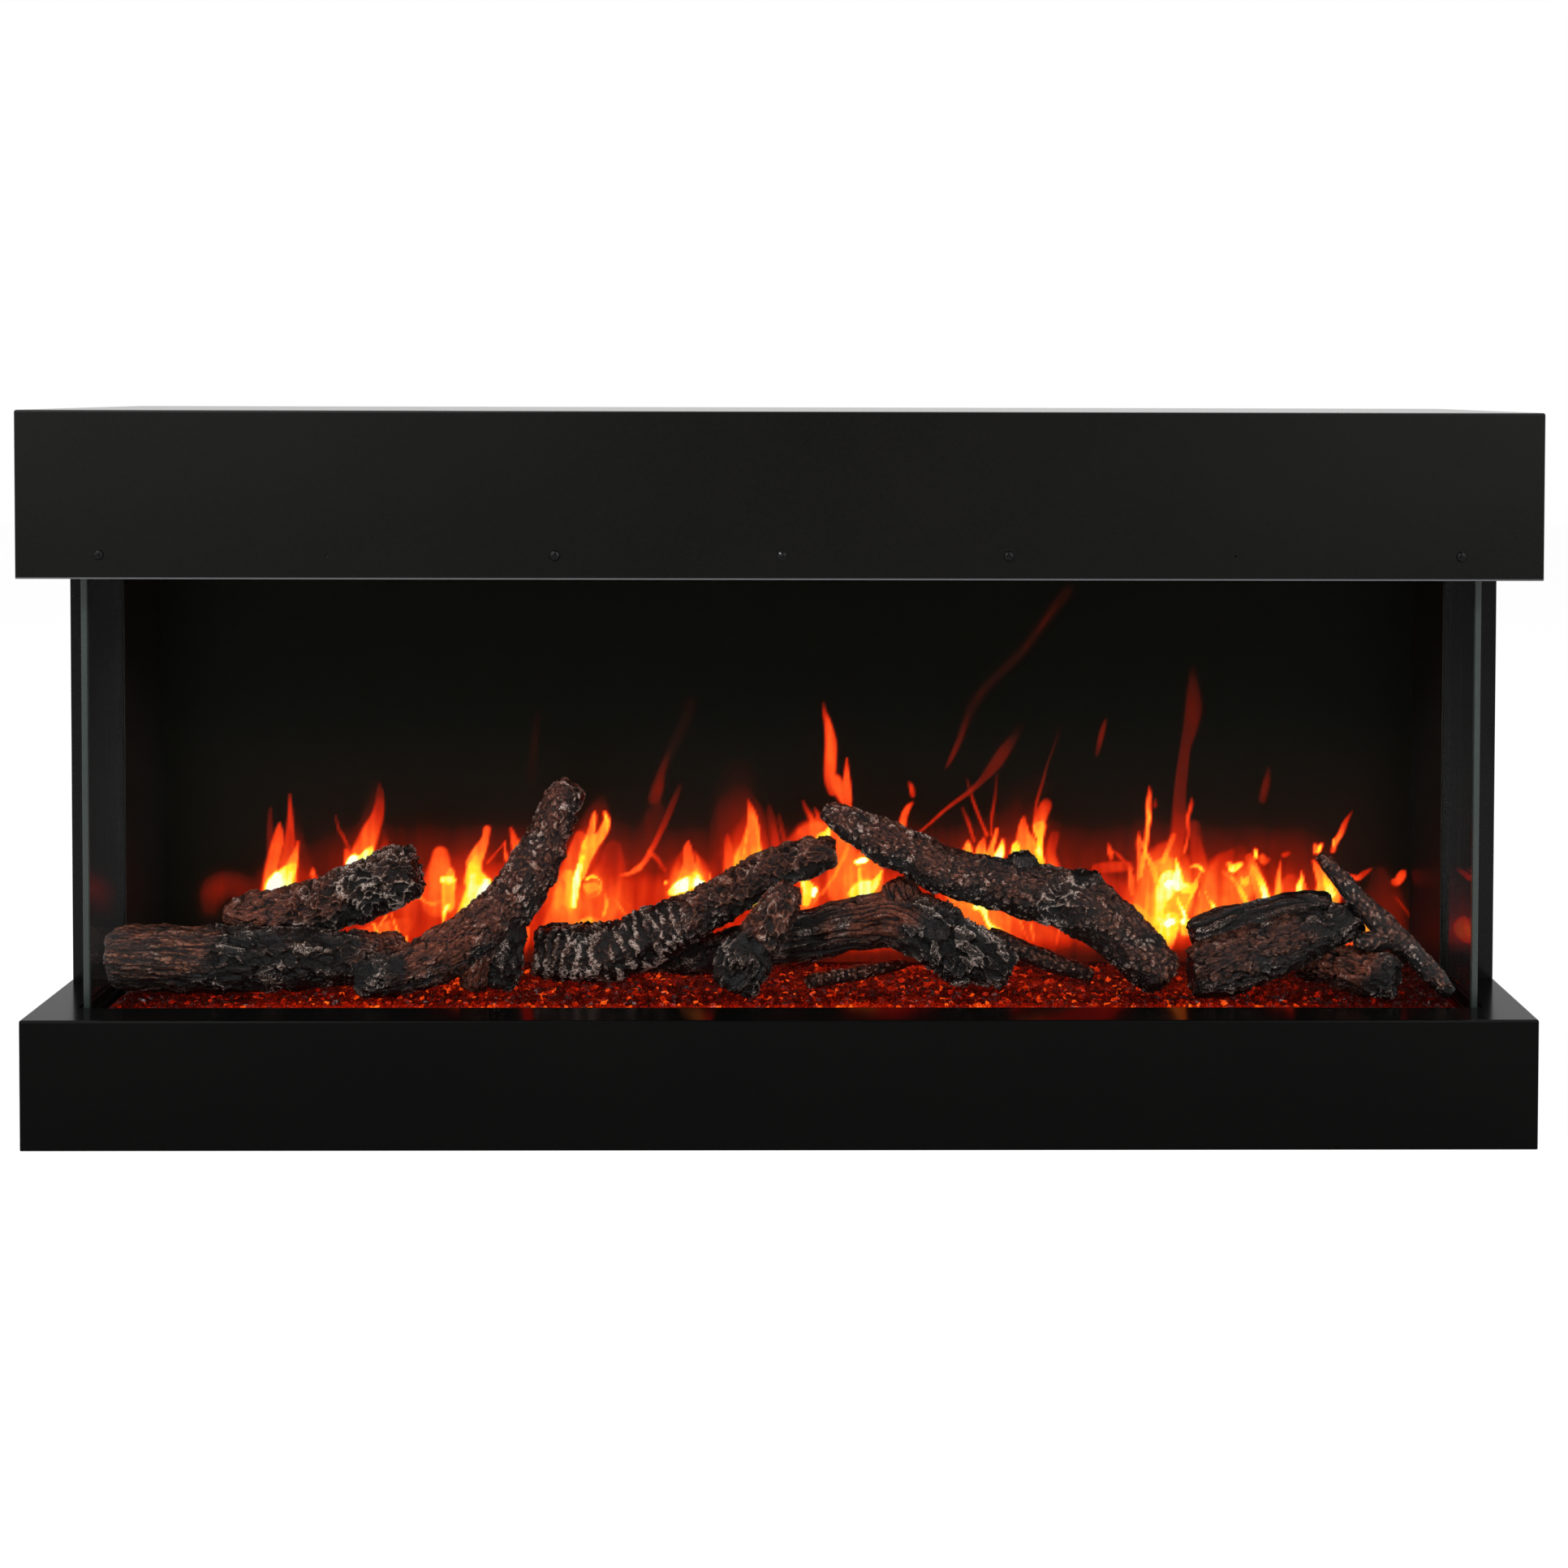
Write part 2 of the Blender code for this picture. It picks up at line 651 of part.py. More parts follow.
def soffit_plate(cabinet):
    """The hood's floor, with a turned-up edge that the fascia screws hold."""
    pan = open_box(2 * INNER_HALF, SHELL_BACK - SHEET - FIT, SOFFIT_FLANGE, (UP, BACK))
    plate = add("soffit_plate", pan, powder_coat(), cabinet, setback=SHEET + FIT, z=SOFFIT_BOTTOM)
    give_thickness(plate, SHEET)
    outlet = block(2 * OUTLET_HALF, OUTLET_BACK - OUTLET_FRONT - 2 * GRILLE_LAP, 2 * OVERRUN)
    cut(plate, outlet, setback=OUTLET_FRONT + GRILLE_LAP, z=SOFFIT_BOTTOM - OVERRUN)
    play = FIT - SWITCH_RIM
    window = block(SWITCH_LENGTH + 2 * play, SWITCH_DEPTH + 2 * play, 2 * OVERRUN)
    cut(plate, window, x=SWITCH_X, setback=SWITCH_SETBACK - SWITCH_DEPTH / 2 - play,
        z=SOFFIT_BOTTOM - OVERRUN)
    return cut(plate, fascia_holes(6 * SHEET), z=HOOD_BOTTOM + FASCIA_SCREW_HEIGHT)


def column(cabinet, name, side):
    """A folded channel: outer wall, front face and a short return at the recess."""
    bends = [
        (side * INNER_HALF, SHELL_BACK),
        (side * INNER_HALF, COLUMN_SETBACK),
        (side * COLUMN_INNER, COLUMN_SETBACK),
        (side * COLUMN_INNER, COLUMN_SETBACK + COLUMN_RETURN),
    ]
    height = SOFFIT_BOTTOM - BASE_HEIGHT - 2 * FIT
    shape = extrusion(sheet_outline(bends, -side * SHEET), "Z", height)
    corner_x = (side * INNER_HALF, side * COLUMN_INNER)

    def is_front_corner(edge):
        foot, head = [vert.co for vert in edge.verts]
        upright = abs(foot.x - head.x) + abs(foot.y - head.y) < FIT
        in_front = abs(foot.y - COLUMN_SETBACK) < FIT
        return upright and in_front and min(abs(foot.x - x) for x in corner_x) < FIT

    bevelled(shape, BEND_RADIUS / 2, 2, is_front_corner)
    return add(name + "_column", shape, powder_coat(), cabinet, z=BASE_HEIGHT + FIT + height / 2)


def recess_panel(cabinet, name, side):
    """The wall that runs from a column back to the screen."""
    depth = SCREEN_SETBACK - COLUMN_SETBACK - FIT
    height = SOFFIT_BOTTOM - FLOOR_TOP - 2 * FIT
    x = side * (COLUMN_INNER - FIT - SHEET / 2)
    return add(name + "_recess_panel", block(SHEET, depth, height), powder_coat(), cabinet,
               x=x, setback=COLUMN_SETBACK, z=FLOOR_TOP + FIT)


def vent_slots(columns, rows):
    """A field of round-ended slots through the back cover, on the origin."""
    slots = []
    for column_index in range(columns):
        for row_index in range(rows):
            slot = extrusion(pill(VENT_LENGTH, VENT_WIDTH), "Y", 2 * OVERRUN)
            x = (column_index - (columns - 1) / 2) * VENT_PITCH_X
            z = (row_index - (rows - 1) / 2) * VENT_PITCH_Z
            slots.append(moved(slot, x=x, z=z))
    return slots


def pill(length, width, steps=3):
    """A slot outline with round ends, centred on the origin."""
    radius = width / 2
    reach = length / 2 - radius
    points = []
    for side in (1.0, -1.0):
        for step in range(steps + 1):
            angle = math.pi * (step / steps - 0.5)
            points.append((side * (reach + radius * math.cos(angle)), side * radius * math.sin(angle)))
    return points


def back_screw_places():
    """Screws round the edge of the back cover."""
    half = HALF_WIDTH - BACK_SCREW_MARGIN
    xs = [half * (2 * step / (BACK_SCREW_COLUMNS - 1) - 1) for step in range(BACK_SCREW_COLUMNS)]
    heights = (PAN_FLANGE / 2 + SHEET, TOP - BACK_SCREW_MARGIN)
    return [(x, z) for x in xs for z in heights]


def back_cover(cabinet):
    """The sheet that closes the back, with its screws, vents for the fan and a hole for the gland."""
    cover = add("back_cover", block(WIDTH, SHEET, TOP), zinc_steel(), cabinet, setback=DEPTH - SHEET)
    middle = HOOD_BOTTOM + HOOD_HEIGHT / 2
    openings = []
    for side in SIDE_SHARES.values():
        for slot in vent_slots(VENT_COLUMNS, VENT_ROWS):
            openings.append(moved(slot, x=side * VENT_X, z=middle))
    gland = rod(GLAND_RADIUS + FIT, 2 * OVERRUN, "Y", 16)
    openings.append(moved(gland, x=GLAND_X, y=OVERRUN, z=GLAND_RISE))
    cut(cover, gathered(openings), setback=DEPTH - SHEET)
    screws = [moved(turned(domed_screw(), math.pi, "Z"), x=x, z=z) for x, z in back_screw_places()]
    row = guide("back_cover_screws", gathered(screws), cabinet, setback=DEPTH + FIT)
    return combine(cover, row, "UNION")


# Glass box


def frame_round_glass(section, back):
    """A section of (outward, height) points carried round the three sides of the glass box."""
    shape = bmesh.new()
    rings = []
    for side, at_back in ((-1.0, True), (-1.0, False), (1.0, False), (1.0, True)):
        ring = []
        for outward, height in section:
            x = side * (GLASS_HALF + outward)
            y = back if at_back else GLASS_SETBACK - outward
            ring.append(shape.verts.new((x, y, height)))
        rings.append(ring)
    for ring in rings:
        for pair in around(ring):
            shape.edges.new(pair)
    return bridged(shape, rings)


def lower_glass_channel(firebox):
    """The channel that the glass stands in, hung under the ledge, with a shelf for the floor."""
    outer = CHANNEL_CLEARANCE
    inner = -GLASS - CHANNEL_CLEARANCE
    flange_top = BASE_HEIGHT - SHEET - FIT
    section = [
        (SLOT_GAP + CHANNEL_FLANGE, flange_top),
        (outer, flange_top),
        (outer, CHANNEL_FLOOR),
        (inner, CHANNEL_FLOOR),
        (inner, FLOOR_TOP + CHANNEL_LIP),
        (inner - CHANNEL_WALL, FLOOR_TOP + CHANNEL_LIP),
        (inner - CHANNEL_WALL, CHANNEL_FLOOR),
        (inner - CHANNEL_WALL - CHANNEL_SHELF, CHANNEL_FLOOR),
        (inner - CHANNEL_WALL - CHANNEL_SHELF, CHANNEL_FLOOR - CHANNEL_WALL),
        (outer + CHANNEL_WALL, CHANNEL_FLOOR - CHANNEL_WALL),
        (outer + CHANNEL_WALL, flange_top - CHANNEL_WALL),
        (SLOT_GAP + CHANNEL_FLANGE, flange_top - CHANNEL_WALL),
    ]
    shape = frame_round_glass(section, COLUMN_SETBACK - FIT)
    return add("lower_glass_channel", shape, powder_coat(), firebox)


def upper_glass_channel(firebox):
    """The channel under the soffit that holds the top of the glass."""
    outer = CHANNEL_CLEARANCE
    inner = -GLASS - CHANNEL_CLEARANCE
    top = SOFFIT_BOTTOM - FIT
    mouth = HOOD_BOTTOM + CHANNEL_WALL
    section = [
        (outer + CHANNEL_WALL, top),
        (outer + CHANNEL_WALL, mouth),
        (outer, mouth),
        (outer, top - CHANNEL_WALL),
        (inner, top - CHANNEL_WALL),
        (inner, mouth),
        (inner - CHANNEL_WALL, mouth),
        (inner - CHANNEL_WALL, top),
    ]
    shape = frame_round_glass(section, COLUMN_SETBACK - FIT)
    return add("upper_glass_channel", shape, powder_coat(), firebox)


def pane(firebox, name, width, depth, x=0.0):
    """A sheet of glass with ground edges, from the lower channel up into the upper one."""
    bottom = CHANNEL_FLOOR + FIT
    top = SOFFIT_BOTTOM - CHANNEL_WALL - 2 * FIT
    shape = bevelled(block(width, depth, top - bottom), GLASS_ARRIS)
    return add(name, shape, clear_glass(), firebox, x=x, setback=GLASS_SETBACK, z=bottom)


def glass_box(firebox):
    """The front pane stands between the two side panes, whose edges show."""
    pane(firebox, "front_glass", 2 * (GLASS_HALF - GLASS - FIT), GLASS)
    for name, side in SIDE_SHARES.items():
        depth = COLUMN_SETBACK - FIT - GLASS_SETBACK
        pane(firebox, name + "_glass", GLASS, depth, x=side * (GLASS_HALF - GLASS / 2))


# Firebox


def chamber_floor(firebox):
    """The plate under the embers, open over the ember lamp."""
    depth = SCREEN_SETBACK + SCREEN_THICKNESS + FLOOR_BEHIND_SCREEN - FLOOR_FRONT
    plate = add("chamber_floor", block(2 * FLOOR_HALF, depth, SHEET), powder_coat(), firebox,
                setback=FLOOR_FRONT, z=FLOOR_TOP - SHEET)
    window = block(2 * (LAMP_HALF_LENGTH + LAMP_WIDTH), BED_DEPTH / 2, 2 * OVERRUN)
    return cut(plate, window, setback=BED_SETBACK + BED_DEPTH / 4, z=FLOOR_TOP - SHEET / 2 - OVERRUN)


def flame_screen(firebox):
    """The dark panel that the flames show on."""
    height = SOFFIT_BOTTOM - FLOOR_TOP - 2 * FIT
    return add("flame_screen", block(2 * COLUMN_INNER, SCREEN_THICKNESS, height), smoked_acrylic(), firebox,
               setback=SCREEN_SETBACK, z=FLOOR_TOP + FIT)


def ember_tray(firebox):
    """A shallow clear red tray that holds the crushed glass."""
    tray = block(2 * BED_HALF_LENGTH, BED_DEPTH, TRAY_HEIGHT)
    piece = add("ember_tray", tray, tray_acrylic(), firebox, setback=BED_SETBACK, z=FLOOR_TOP + FIT)
    hollow = block(2 * (BED_HALF_LENGTH - TRAY_WALL), BED_DEPTH - 2 * TRAY_WALL, TRAY_HEIGHT)
    return cut(piece, hollow, setback=BED_SETBACK + TRAY_WALL, z=FLOOR_TOP + FIT + TRAY_WALL)


def ember_height(along_share, back_share, x, y):
    """How far the crushed glass stands above the tray's rim: a low crown with lumps."""
    crown = math.sin(math.pi * min(max(back_share, 0.0), 1.0)) * (1.0 - abs(along_share) ** EMBER_END_POWER)
    lump = noise.noise(Vector((x, y, 0.0)) / EMBER_LUMP)
    full_share = EMBER_EDGE_SHARE + (1.0 - EMBER_EDGE_SHARE) * crown
    return EMBER_CROWN * full_share + EMBER_ROUGHNESS * lump


def ember_media(firebox):
    """The bed of crushed glass as one solid, heaped in its tray."""
    half = BED_HALF_LENGTH - TRAY_WALL - FIT
    depth = BED_DEPTH - 2 * (TRAY_WALL + FIT)
    shape = bmesh.new()
    bmesh.ops.create_grid(shape, x_segments=36, y_segments=5, size=0.5)
    bmesh.ops.scale(shape, vec=(2 * half, depth, 1.0), verts=shape.verts)
    floor_height = TRAY_WALL + FIT
    rim = [edge for edge in shape.edges if edge.is_boundary]
    skirt = bmesh.ops.extrude_edge_only(shape, edges=rim)["geom"]
    low = [item for item in skirt if isinstance(item, bmesh.types.BMVert)]
    low_edges = [item for item in skirt if isinstance(item, bmesh.types.BMEdge)]
    for vert in set(shape.verts) - set(low):
        x, y = vert.co.x, vert.co.y
        vert.co.z = TRAY_HEIGHT + ember_height(x / half, y / depth + 0.5, x, y)
    for vert in low:
        vert.co.z = floor_height
    bmesh.ops.holes_fill(shape, edges=low_edges)
    bmesh.ops.recalc_face_normals(shape, faces=shape.faces)
    return add("ember_media", shape, ember_glass(), firebox, setback=BED_SETBACK + BED_DEPTH / 2,
               z=FLOOR_TOP + FIT)


# Log set


def bark_swell(point, seed):
    """How much fuller or leaner the bark is at a place on a log."""
    return 1.0 + BARK_DEPTH_SHARE * noise.noise(point / BARK_LUMP + Vector((seed, seed, seed)))


def limb(rows, seed):
    """A tapered, lumpy limb: one ring of bark for each row, closed by a rough break at each end."""
    centres = [Vector((x * BED_HALF_LENGTH, y * BED_DEPTH, z * PILE_HEIGHT)) for x, y, z, _ in rows]
    shape = bmesh.new()
    rings = []
    for index, centre in enumerate(centres):
        ahead = centres[min(index + 1, len(centres) - 1)]
        behind = centres[max(index - 1, 0)]
        facing = (ahead - behind).to_track_quat("Z", "Y").to_matrix().to_4x4()
        ring = bmesh.ops.create_circle(shape, cap_ends=False, segments=BARK_SIDES,
                                       radius=LOG_GIRTH / 2 * rows[index][3],
                                       matrix=Matrix.Translation(centre) @ facing)["verts"]
        for vert in ring:
            vert.co = centre + (vert.co - centre) * bark_swell(vert.co, seed)
        rings.append(ring)
    return bridged(shape, rings)


def settled_mesh(piece):
    """The piece's mesh with its joined limbs, as it will be built."""
    graph = bpy.context.evaluated_depsgraph_get()
    return bpy.data.meshes.new_from_object(piece.evaluated_get(graph))


def tree_of(mesh, drop):
    """A search tree of a mesh that is lowered by a drop."""
    corners = [vert.co - Vector((0.0, 0.0, drop)) for vert in mesh.vertices]
    return BVHTree.FromPolygons(corners, [tuple(face.vertices) for face in mesh.polygons])


def settle(piece, lying):
    """Move a log up or down from its drawn place until it lies just clear of what is under it."""
    mesh = piece.data

    def touches(drop):
        return any(tree_of(mesh, drop).overlap(tree) for tree in lying)

    free = 0.0
    while touches(free):
        free -= SETTLE_STEP
    while not touches(free + SETTLE_STEP) and free < PILE_HEIGHT:
        free += SETTLE_STEP
    caught = free + SETTLE_STEP
    while caught - free > FIT / 4:
        middle = (free + caught) / 2
        if touches(middle):
            caught = middle
        else:
            free = middle
    rest = free - FIT
    for vert in mesh.vertices:
        vert.co.z -= rest
    lying.append(tree_of(mesh, 0.0))


def log_set(logs, bed):
    """Every log and stick, each lowered in turn on the bed and on the logs that lie already."""
    bpy.context.view_layer.update()
    foot = Vector((0.0, FRONT + BED_SETBACK, BASE_HEIGHT))
    lying = []
    for piece in bed:
        mesh = settled_mesh(piece)
        mesh.transform(Matrix.Translation(-foot) @ piece.matrix_world)
        lying.append(tree_of(mesh, 0.0))
        bpy.data.meshes.remove(mesh)
    bark = bark_resin()
    for seed, (name, limbs) in enumerate(LOG_SHARES.items()):
        piece = add(name, limb(limbs[0], seed), bark, logs, setback=BED_SETBACK, z=BASE_HEIGHT)
        for rows in limbs[1:]:
            side_limb = guide(name + "_limb", limb(rows, seed), logs, setback=BED_SETBACK, z=BASE_HEIGHT)
            combine(piece, side_limb, "UNION")
        bpy.context.view_layer.update()
        mesh = settled_mesh(piece)
        piece.modifiers.clear()
        piece.data = mesh
        settle(piece, lying)
        smooth(piece, math.radians(60.0))


# Lamps and flame drive


def lamp_board(parent, name, setback, z, facing):
    """A long board with a row of square lamps that stand out of one face."""
    shape = bmesh.new()
    bmesh.ops.create_grid(shape, x_segments=2 * LAMP_COUNT + 1, y_segments=1, size=0.5)
    bmesh.ops.scale(shape, vec=(2 * LAMP_HALF_LENGTH, LAMP_WIDTH, 1.0), verts=shape.verts)
    grown = bmesh.ops.extrude_face_region(shape, geom=list(shape.faces))
    tips = [item for item in grown["geom"] if isinstance(item, bmesh.types.BMVert)]
    bmesh.ops.translate(shape, vec=(0.0, 0.0, LAMP_BOARD), verts=tips)
    bmesh.ops.recalc_face_normals(shape, faces=shape.faces)
    upper = [face for face in shape.faces if face.normal.z > 0.9]
    upper.sort(key=lambda face: face.calc_center_median().x)
    bmesh.ops.inset_individual(shape, faces=upper[1::2], thickness=LAMP_WIDTH / 4, depth=0.0)
    for face in upper[1::2]:
        bmesh.ops.translate(shape, vec=(0.0, 0.0, LAMP_RISE), verts=face.verts)
    if facing == "front":
        turned(shape, math.radians(90.0), "X")
    return add(name, shape, lamp_board_white(), parent, setback=setback, z=z)


def ember_light(firebox):
    """A folded reflector under the tray, with the ember lamp board on its floor."""
    half_depth = BED_DEPTH / 4
    height = FLOOR_TOP - 2 * SHEET - FIT
    low = PAN_TOP + FIT
    bends = [
        (-half_depth - PAN_FLANGE, height), (-half_depth, height), (-half_depth, low),
        (half_depth, low), (half_depth, height), (half_depth + PAN_FLANGE, height),
    ]
    middle = BED_SETBACK + BED_DEPTH / 2
    length = 2 * (LAMP_HALF_LENGTH + LAMP_WIDTH / 2)
    trough = extrusion(sheet_outline(bends, SHEET), "X", length)
    add("ember_reflector", trough, aluminium_sheet(), firebox, setback=middle)
    lamp_board(firebox, "ember_lamp_board", middle, low + SHEET + FIT, "up")


def rod_height():
    """The height of the flicker rod's axis."""
    return BASE_HEIGHT + ROD_RISE


def flame_light(drive):
    """An angle bracket on the pan that holds the flame lamp board towards the flicker rod."""
    low = PAN_TOP + FIT
    bends = [
        (BRACKET_SETBACK - BRACKET_FOOT, low), (BRACKET_SETBACK, low),
        (BRACKET_SETBACK, rod_height() + BRACKET_TOP_MARGIN),
    ]
    length = 2 * (LAMP_HALF_LENGTH + LAMP_WIDTH / 2)
    angle = extrusion(sheet_outline(bends, SHEET), "X", length)
    add("flame_lamp_bracket", angle, zinc_steel(), drive)
    lamp_board(drive, "flame_lamp_board", BRACKET_SETBACK - SHEET - FIT, rod_height(), "front")


def flicker_rod(drive):
    """The turning rod whose bent reflector flaps throw flickering light on the screen."""
    shaft = rod(ROD_RADIUS, 2 * ROD_HALF_LENGTH, "X", 8)
    piece = add("flicker_rod", moved(shaft, x=-ROD_HALF_LENGTH), aluminium_sheet(), drive,
                setback=ROD_SETBACK, z=rod_height())
    flaps = []
    pitch = 2 * (ROD_HALF_LENGTH - FLAP_WIDTH) / FLAP_STATIONS
    for station in range(FLAP_STATIONS):
        flap = block(FLAP_WIDTH, FLAP_THICKNESS, 2 * FLAP_REACH)
        moved(flap, y=-FLAP_THICKNESS / 2, z=-FLAP_REACH)
        for vert in flap.verts:
            vert.co.y += vert.co.x * vert.co.z / FLAP_REACH * 0.5
        turned(flap, math.pi * station * FLAP_TURN_SHARE, "X")
        flaps.append(moved(flap, x=(station - (FLAP_STATIONS - 1) / 2) * pitch))
    return combine(piece, guide("flicker_rod_flaps", gathered(flaps), drive, setback=ROD_SETBACK,
                                z=rod_height()), "UNION")


def rod_hanger(drive, name, side):
    """An angle on the pan with a round head, bored for a bush or the motor's hub."""
    low = PAN_TOP + FIT
    height = rod_height() - low
    half = HANGER_WIDTH / 2
    points = [(-half, 0.0), (half, 0.0), (half, height)]
    for step in range(1, 8):
        angle = math.pi * step / 8
        points.append((half * math.cos(angle), height + half * math.sin(angle)))
    points.append((-half, height))
    outline = extrusion(points, "X", SHEET)
    x = side * (ROD_HALF_LENGTH - ROD_BUSH_LENGTH)
    piece = add(name, outline, zinc_steel(), drive, x=x, setback=ROD_SETBACK, z=low)
    foot = moved(block(HANGER_FOOT, HANGER_WIDTH, SHEET), x=side * HANGER_FOOT / 2, y=-half)
    combine(piece, guide(name + "_foot", foot, drive, x=x, setback=ROD_SETBACK, z=low), "UNION")
    bore = moved(rod(ROD_BUSH_RADIUS + FIT, 2 * OVERRUN, "X", 16), x=-OVERRUN)
    return cut(piece, bore, x=x, setback=ROD_SETBACK, z=rod_height())


def flicker_drive(drive):
    """The rod's bush on the left, its motor on the right, and the hangers that hold them."""
    for name, side in (("rod_bush_hanger", -1.0), ("flicker_motor_hanger", 1.0)):
        rod_hanger(drive, name, side)
    bush = tube(ROD_BUSH_RADIUS, ROD_RADIUS + ROD_CLEARANCE, ROD_BUSH_LENGTH, "X")
    smooth(add("rod_bush", moved(bush, x=-ROD_BUSH_LENGTH / 2), black_nylon(), drive,
               x=-ROD_HALF_LENGTH + ROD_BUSH_LENGTH,
               setback=ROD_SETBACK, z=rod_height()))
    start = ROD_HALF_LENGTH - ROD_BUSH_LENGTH + SHEET / 2 + FIT
    hub = ROD_BUSH_LENGTH
    bore = ROD_RADIUS + ROD_CLEARANCE
    profile = [
        (0.0, hub + FLICKER_MOTOR_LENGTH), (0.0, hub), (bore, hub), (bore, 0.0), (FLICKER_HUB_RADIUS, 0.0),
        (FLICKER_HUB_RADIUS, SHEET), (FLICKER_MOTOR_RADIUS, SHEET),
        (FLICKER_MOTOR_RADIUS, hub + FLICKER_MOTOR_LENGTH), (0.0, hub + FLICKER_MOTOR_LENGTH),
    ]
    smooth(add("flicker_motor", lathed(profile, "X", 20), motor_steel(), drive, x=start,
               setback=ROD_SETBACK, z=rod_height()))


def flame_stencil(drive):
    """A thin sheet with flame-shaped openings between the rod and the screen."""
    plate = add("flame_stencil", block(2 * COLUMN_INNER, SHEET, STENCIL_HEIGHT), black_oxide(), drive,
                setback=STENCIL_SETBACK, z=FLOOR_TOP + FIT)
    pitch = 2 * (COLUMN_INNER - STENCIL_MARGIN) / STENCIL_FLAMES
    openings = []
    for index in range(STENCIL_FLAMES):
        tall = (STENCIL_HEIGHT - 2 * STENCIL_MARGIN) * STENCIL_TALL_SHARES[index % len(STENCIL_TALL_SHARES)]
        wide = pitch * STENCIL_WIDE_SHARE
        outline = [(wide * x, tall * z) for x, z in STENCIL_FLAME_SHARES]
        opening = extrusion(outline, "Y", 2 * OVERRUN)
        openings.append(moved(opening, x=(index - (STENCIL_FLAMES - 1) / 2) * pitch, z=STENCIL_MARGIN))
    return cut(plate, gathered(openings), setback=STENCIL_SETBACK, z=FLOOR_TOP + FIT)


# Fan heater in the hood


def blower_height():
    """The height of the impeller's axis."""
    return SOFFIT_TOP + BLOWER_RISE


def scroll_curve(steps=9):
    """The (setback, height) points of the scroll, from the back over the top to the outlet's front."""
    start = IMPELLER_RADIUS + SCROLL_GAP
    end = BLOWER_SETBACK - OUTLET_FRONT
    points = []
    for step in range(steps + 1):
        share = step / steps
        angle = SCROLL_START + (math.pi - SCROLL_START) * share
        reach = start * (end / start) ** share
        points.append((BLOWER_SETBACK + reach * math.cos(angle), blower_height() + reach * math.sin(angle)))
    return points + [(OUTLET_FRONT, SOFFIT_TOP + FIT)]


def tongue_curve():
    """The (setback, height) points of the wall behind the outlet, up to its lip under the impeller."""
    low = SOFFIT_TOP + FIT
    tip = blower_height() - IMPELLER_RADIUS - SCROLL_GAP
    return [(OUTLET_BACK, low), (OUTLET_BACK, low + TONGUE_UPRIGHT), (BLOWER_SETBACK, tip - TONGUE_LIP),
            (BLOWER_SETBACK + 2 * TONGUE_LIP, tip - TONGUE_LIP)]


def blower_housing(heater):
    """Scroll, tongue and left plate welded as one housing, and the right plate that carries the motor.

    The housing is open at the back for the intake and below for the outlet.
    """
    length = 2 * (IMPELLER_HALF_LENGTH + SCROLL_GAP)
    pieces = {}
    for name, side in (("blower_housing", -1.0), ("blower_motor_plate", 1.0)):
        plate = extrusion(scroll_curve() + tongue_curve(), "X", SHEET)
        pieces[name] = add(name, plate, zinc_steel(), heater, x=side * (length / 2 + FIT + SHEET / 2))
    for curve in (scroll_curve(), tongue_curve()):
        wall = extrusion(sheet_outline(curve, -SHEET), "X", length + SHEET)
        combine(pieces["blower_housing"], guide("housing_wall", wall, heater, x=-SHEET / 2), "UNION")
    for name, side in (("blower_housing", -1.0), ("blower_motor_plate", 1.0)):
        bore = moved(rod(BEARING_RADIUS + FIT, 2 * OVERRUN, "X", 16), x=-OVERRUN)
        cut(pieces[name], bore, x=side * (length / 2 + FIT), setback=BLOWER_SETBACK, z=blower_height())


def blade_outline():
    """A blade's curved section as (back, up) points near the wheel's rim."""
    mid = IMPELLER_RADIUS - BLADE_CHORD / 2
    low = IMPELLER_RADIUS - BLADE_CHORD
    return sheet_outline([(0.0, low), (BLADE_BOW, mid), (0.0, IMPELLER_RADIUS)], BLADE_THICKNESS)


def impeller(heater):
    """The tangential fan wheel: forward-curved blades between three discs, on a shaft."""
    discs = []
    for place in (-1.0, 0.0, 1.0):
        disc = rod(IMPELLER_RADIUS - BLADE_CHORD / 4, DISC_THICKNESS, "X", 20)
        middle = place * (IMPELLER_HALF_LENGTH - DISC_THICKNESS / 2)
        discs.append(moved(disc, x=middle - DISC_THICKNESS / 2))
    blades = []
    for index in range(BLADE_COUNT):
        blade = extrusion(blade_outline(), "X", 2 * IMPELLER_HALF_LENGTH - DISC_THICKNESS)
        blades.append(turned(blade, math.tau * index / BLADE_COUNT, "X"))
    place = {"setback": BLOWER_SETBACK, "z": blower_height()}
    reach = IMPELLER_HALF_LENGTH + SHAFT_OVERHANG
    shaft = moved(rod(IMPELLER_SHAFT_RADIUS, 2 * reach, "X", 12), x=-reach)
    piece = add("blower_impeller", shaft, aluminium_sheet(), heater, **place)
    combine(piece, guide("impeller_discs", gathered(discs), heater, **place), "UNION")
    return combine(piece, guide("impeller_blades", gathered(blades), heater, **place), "UNION")


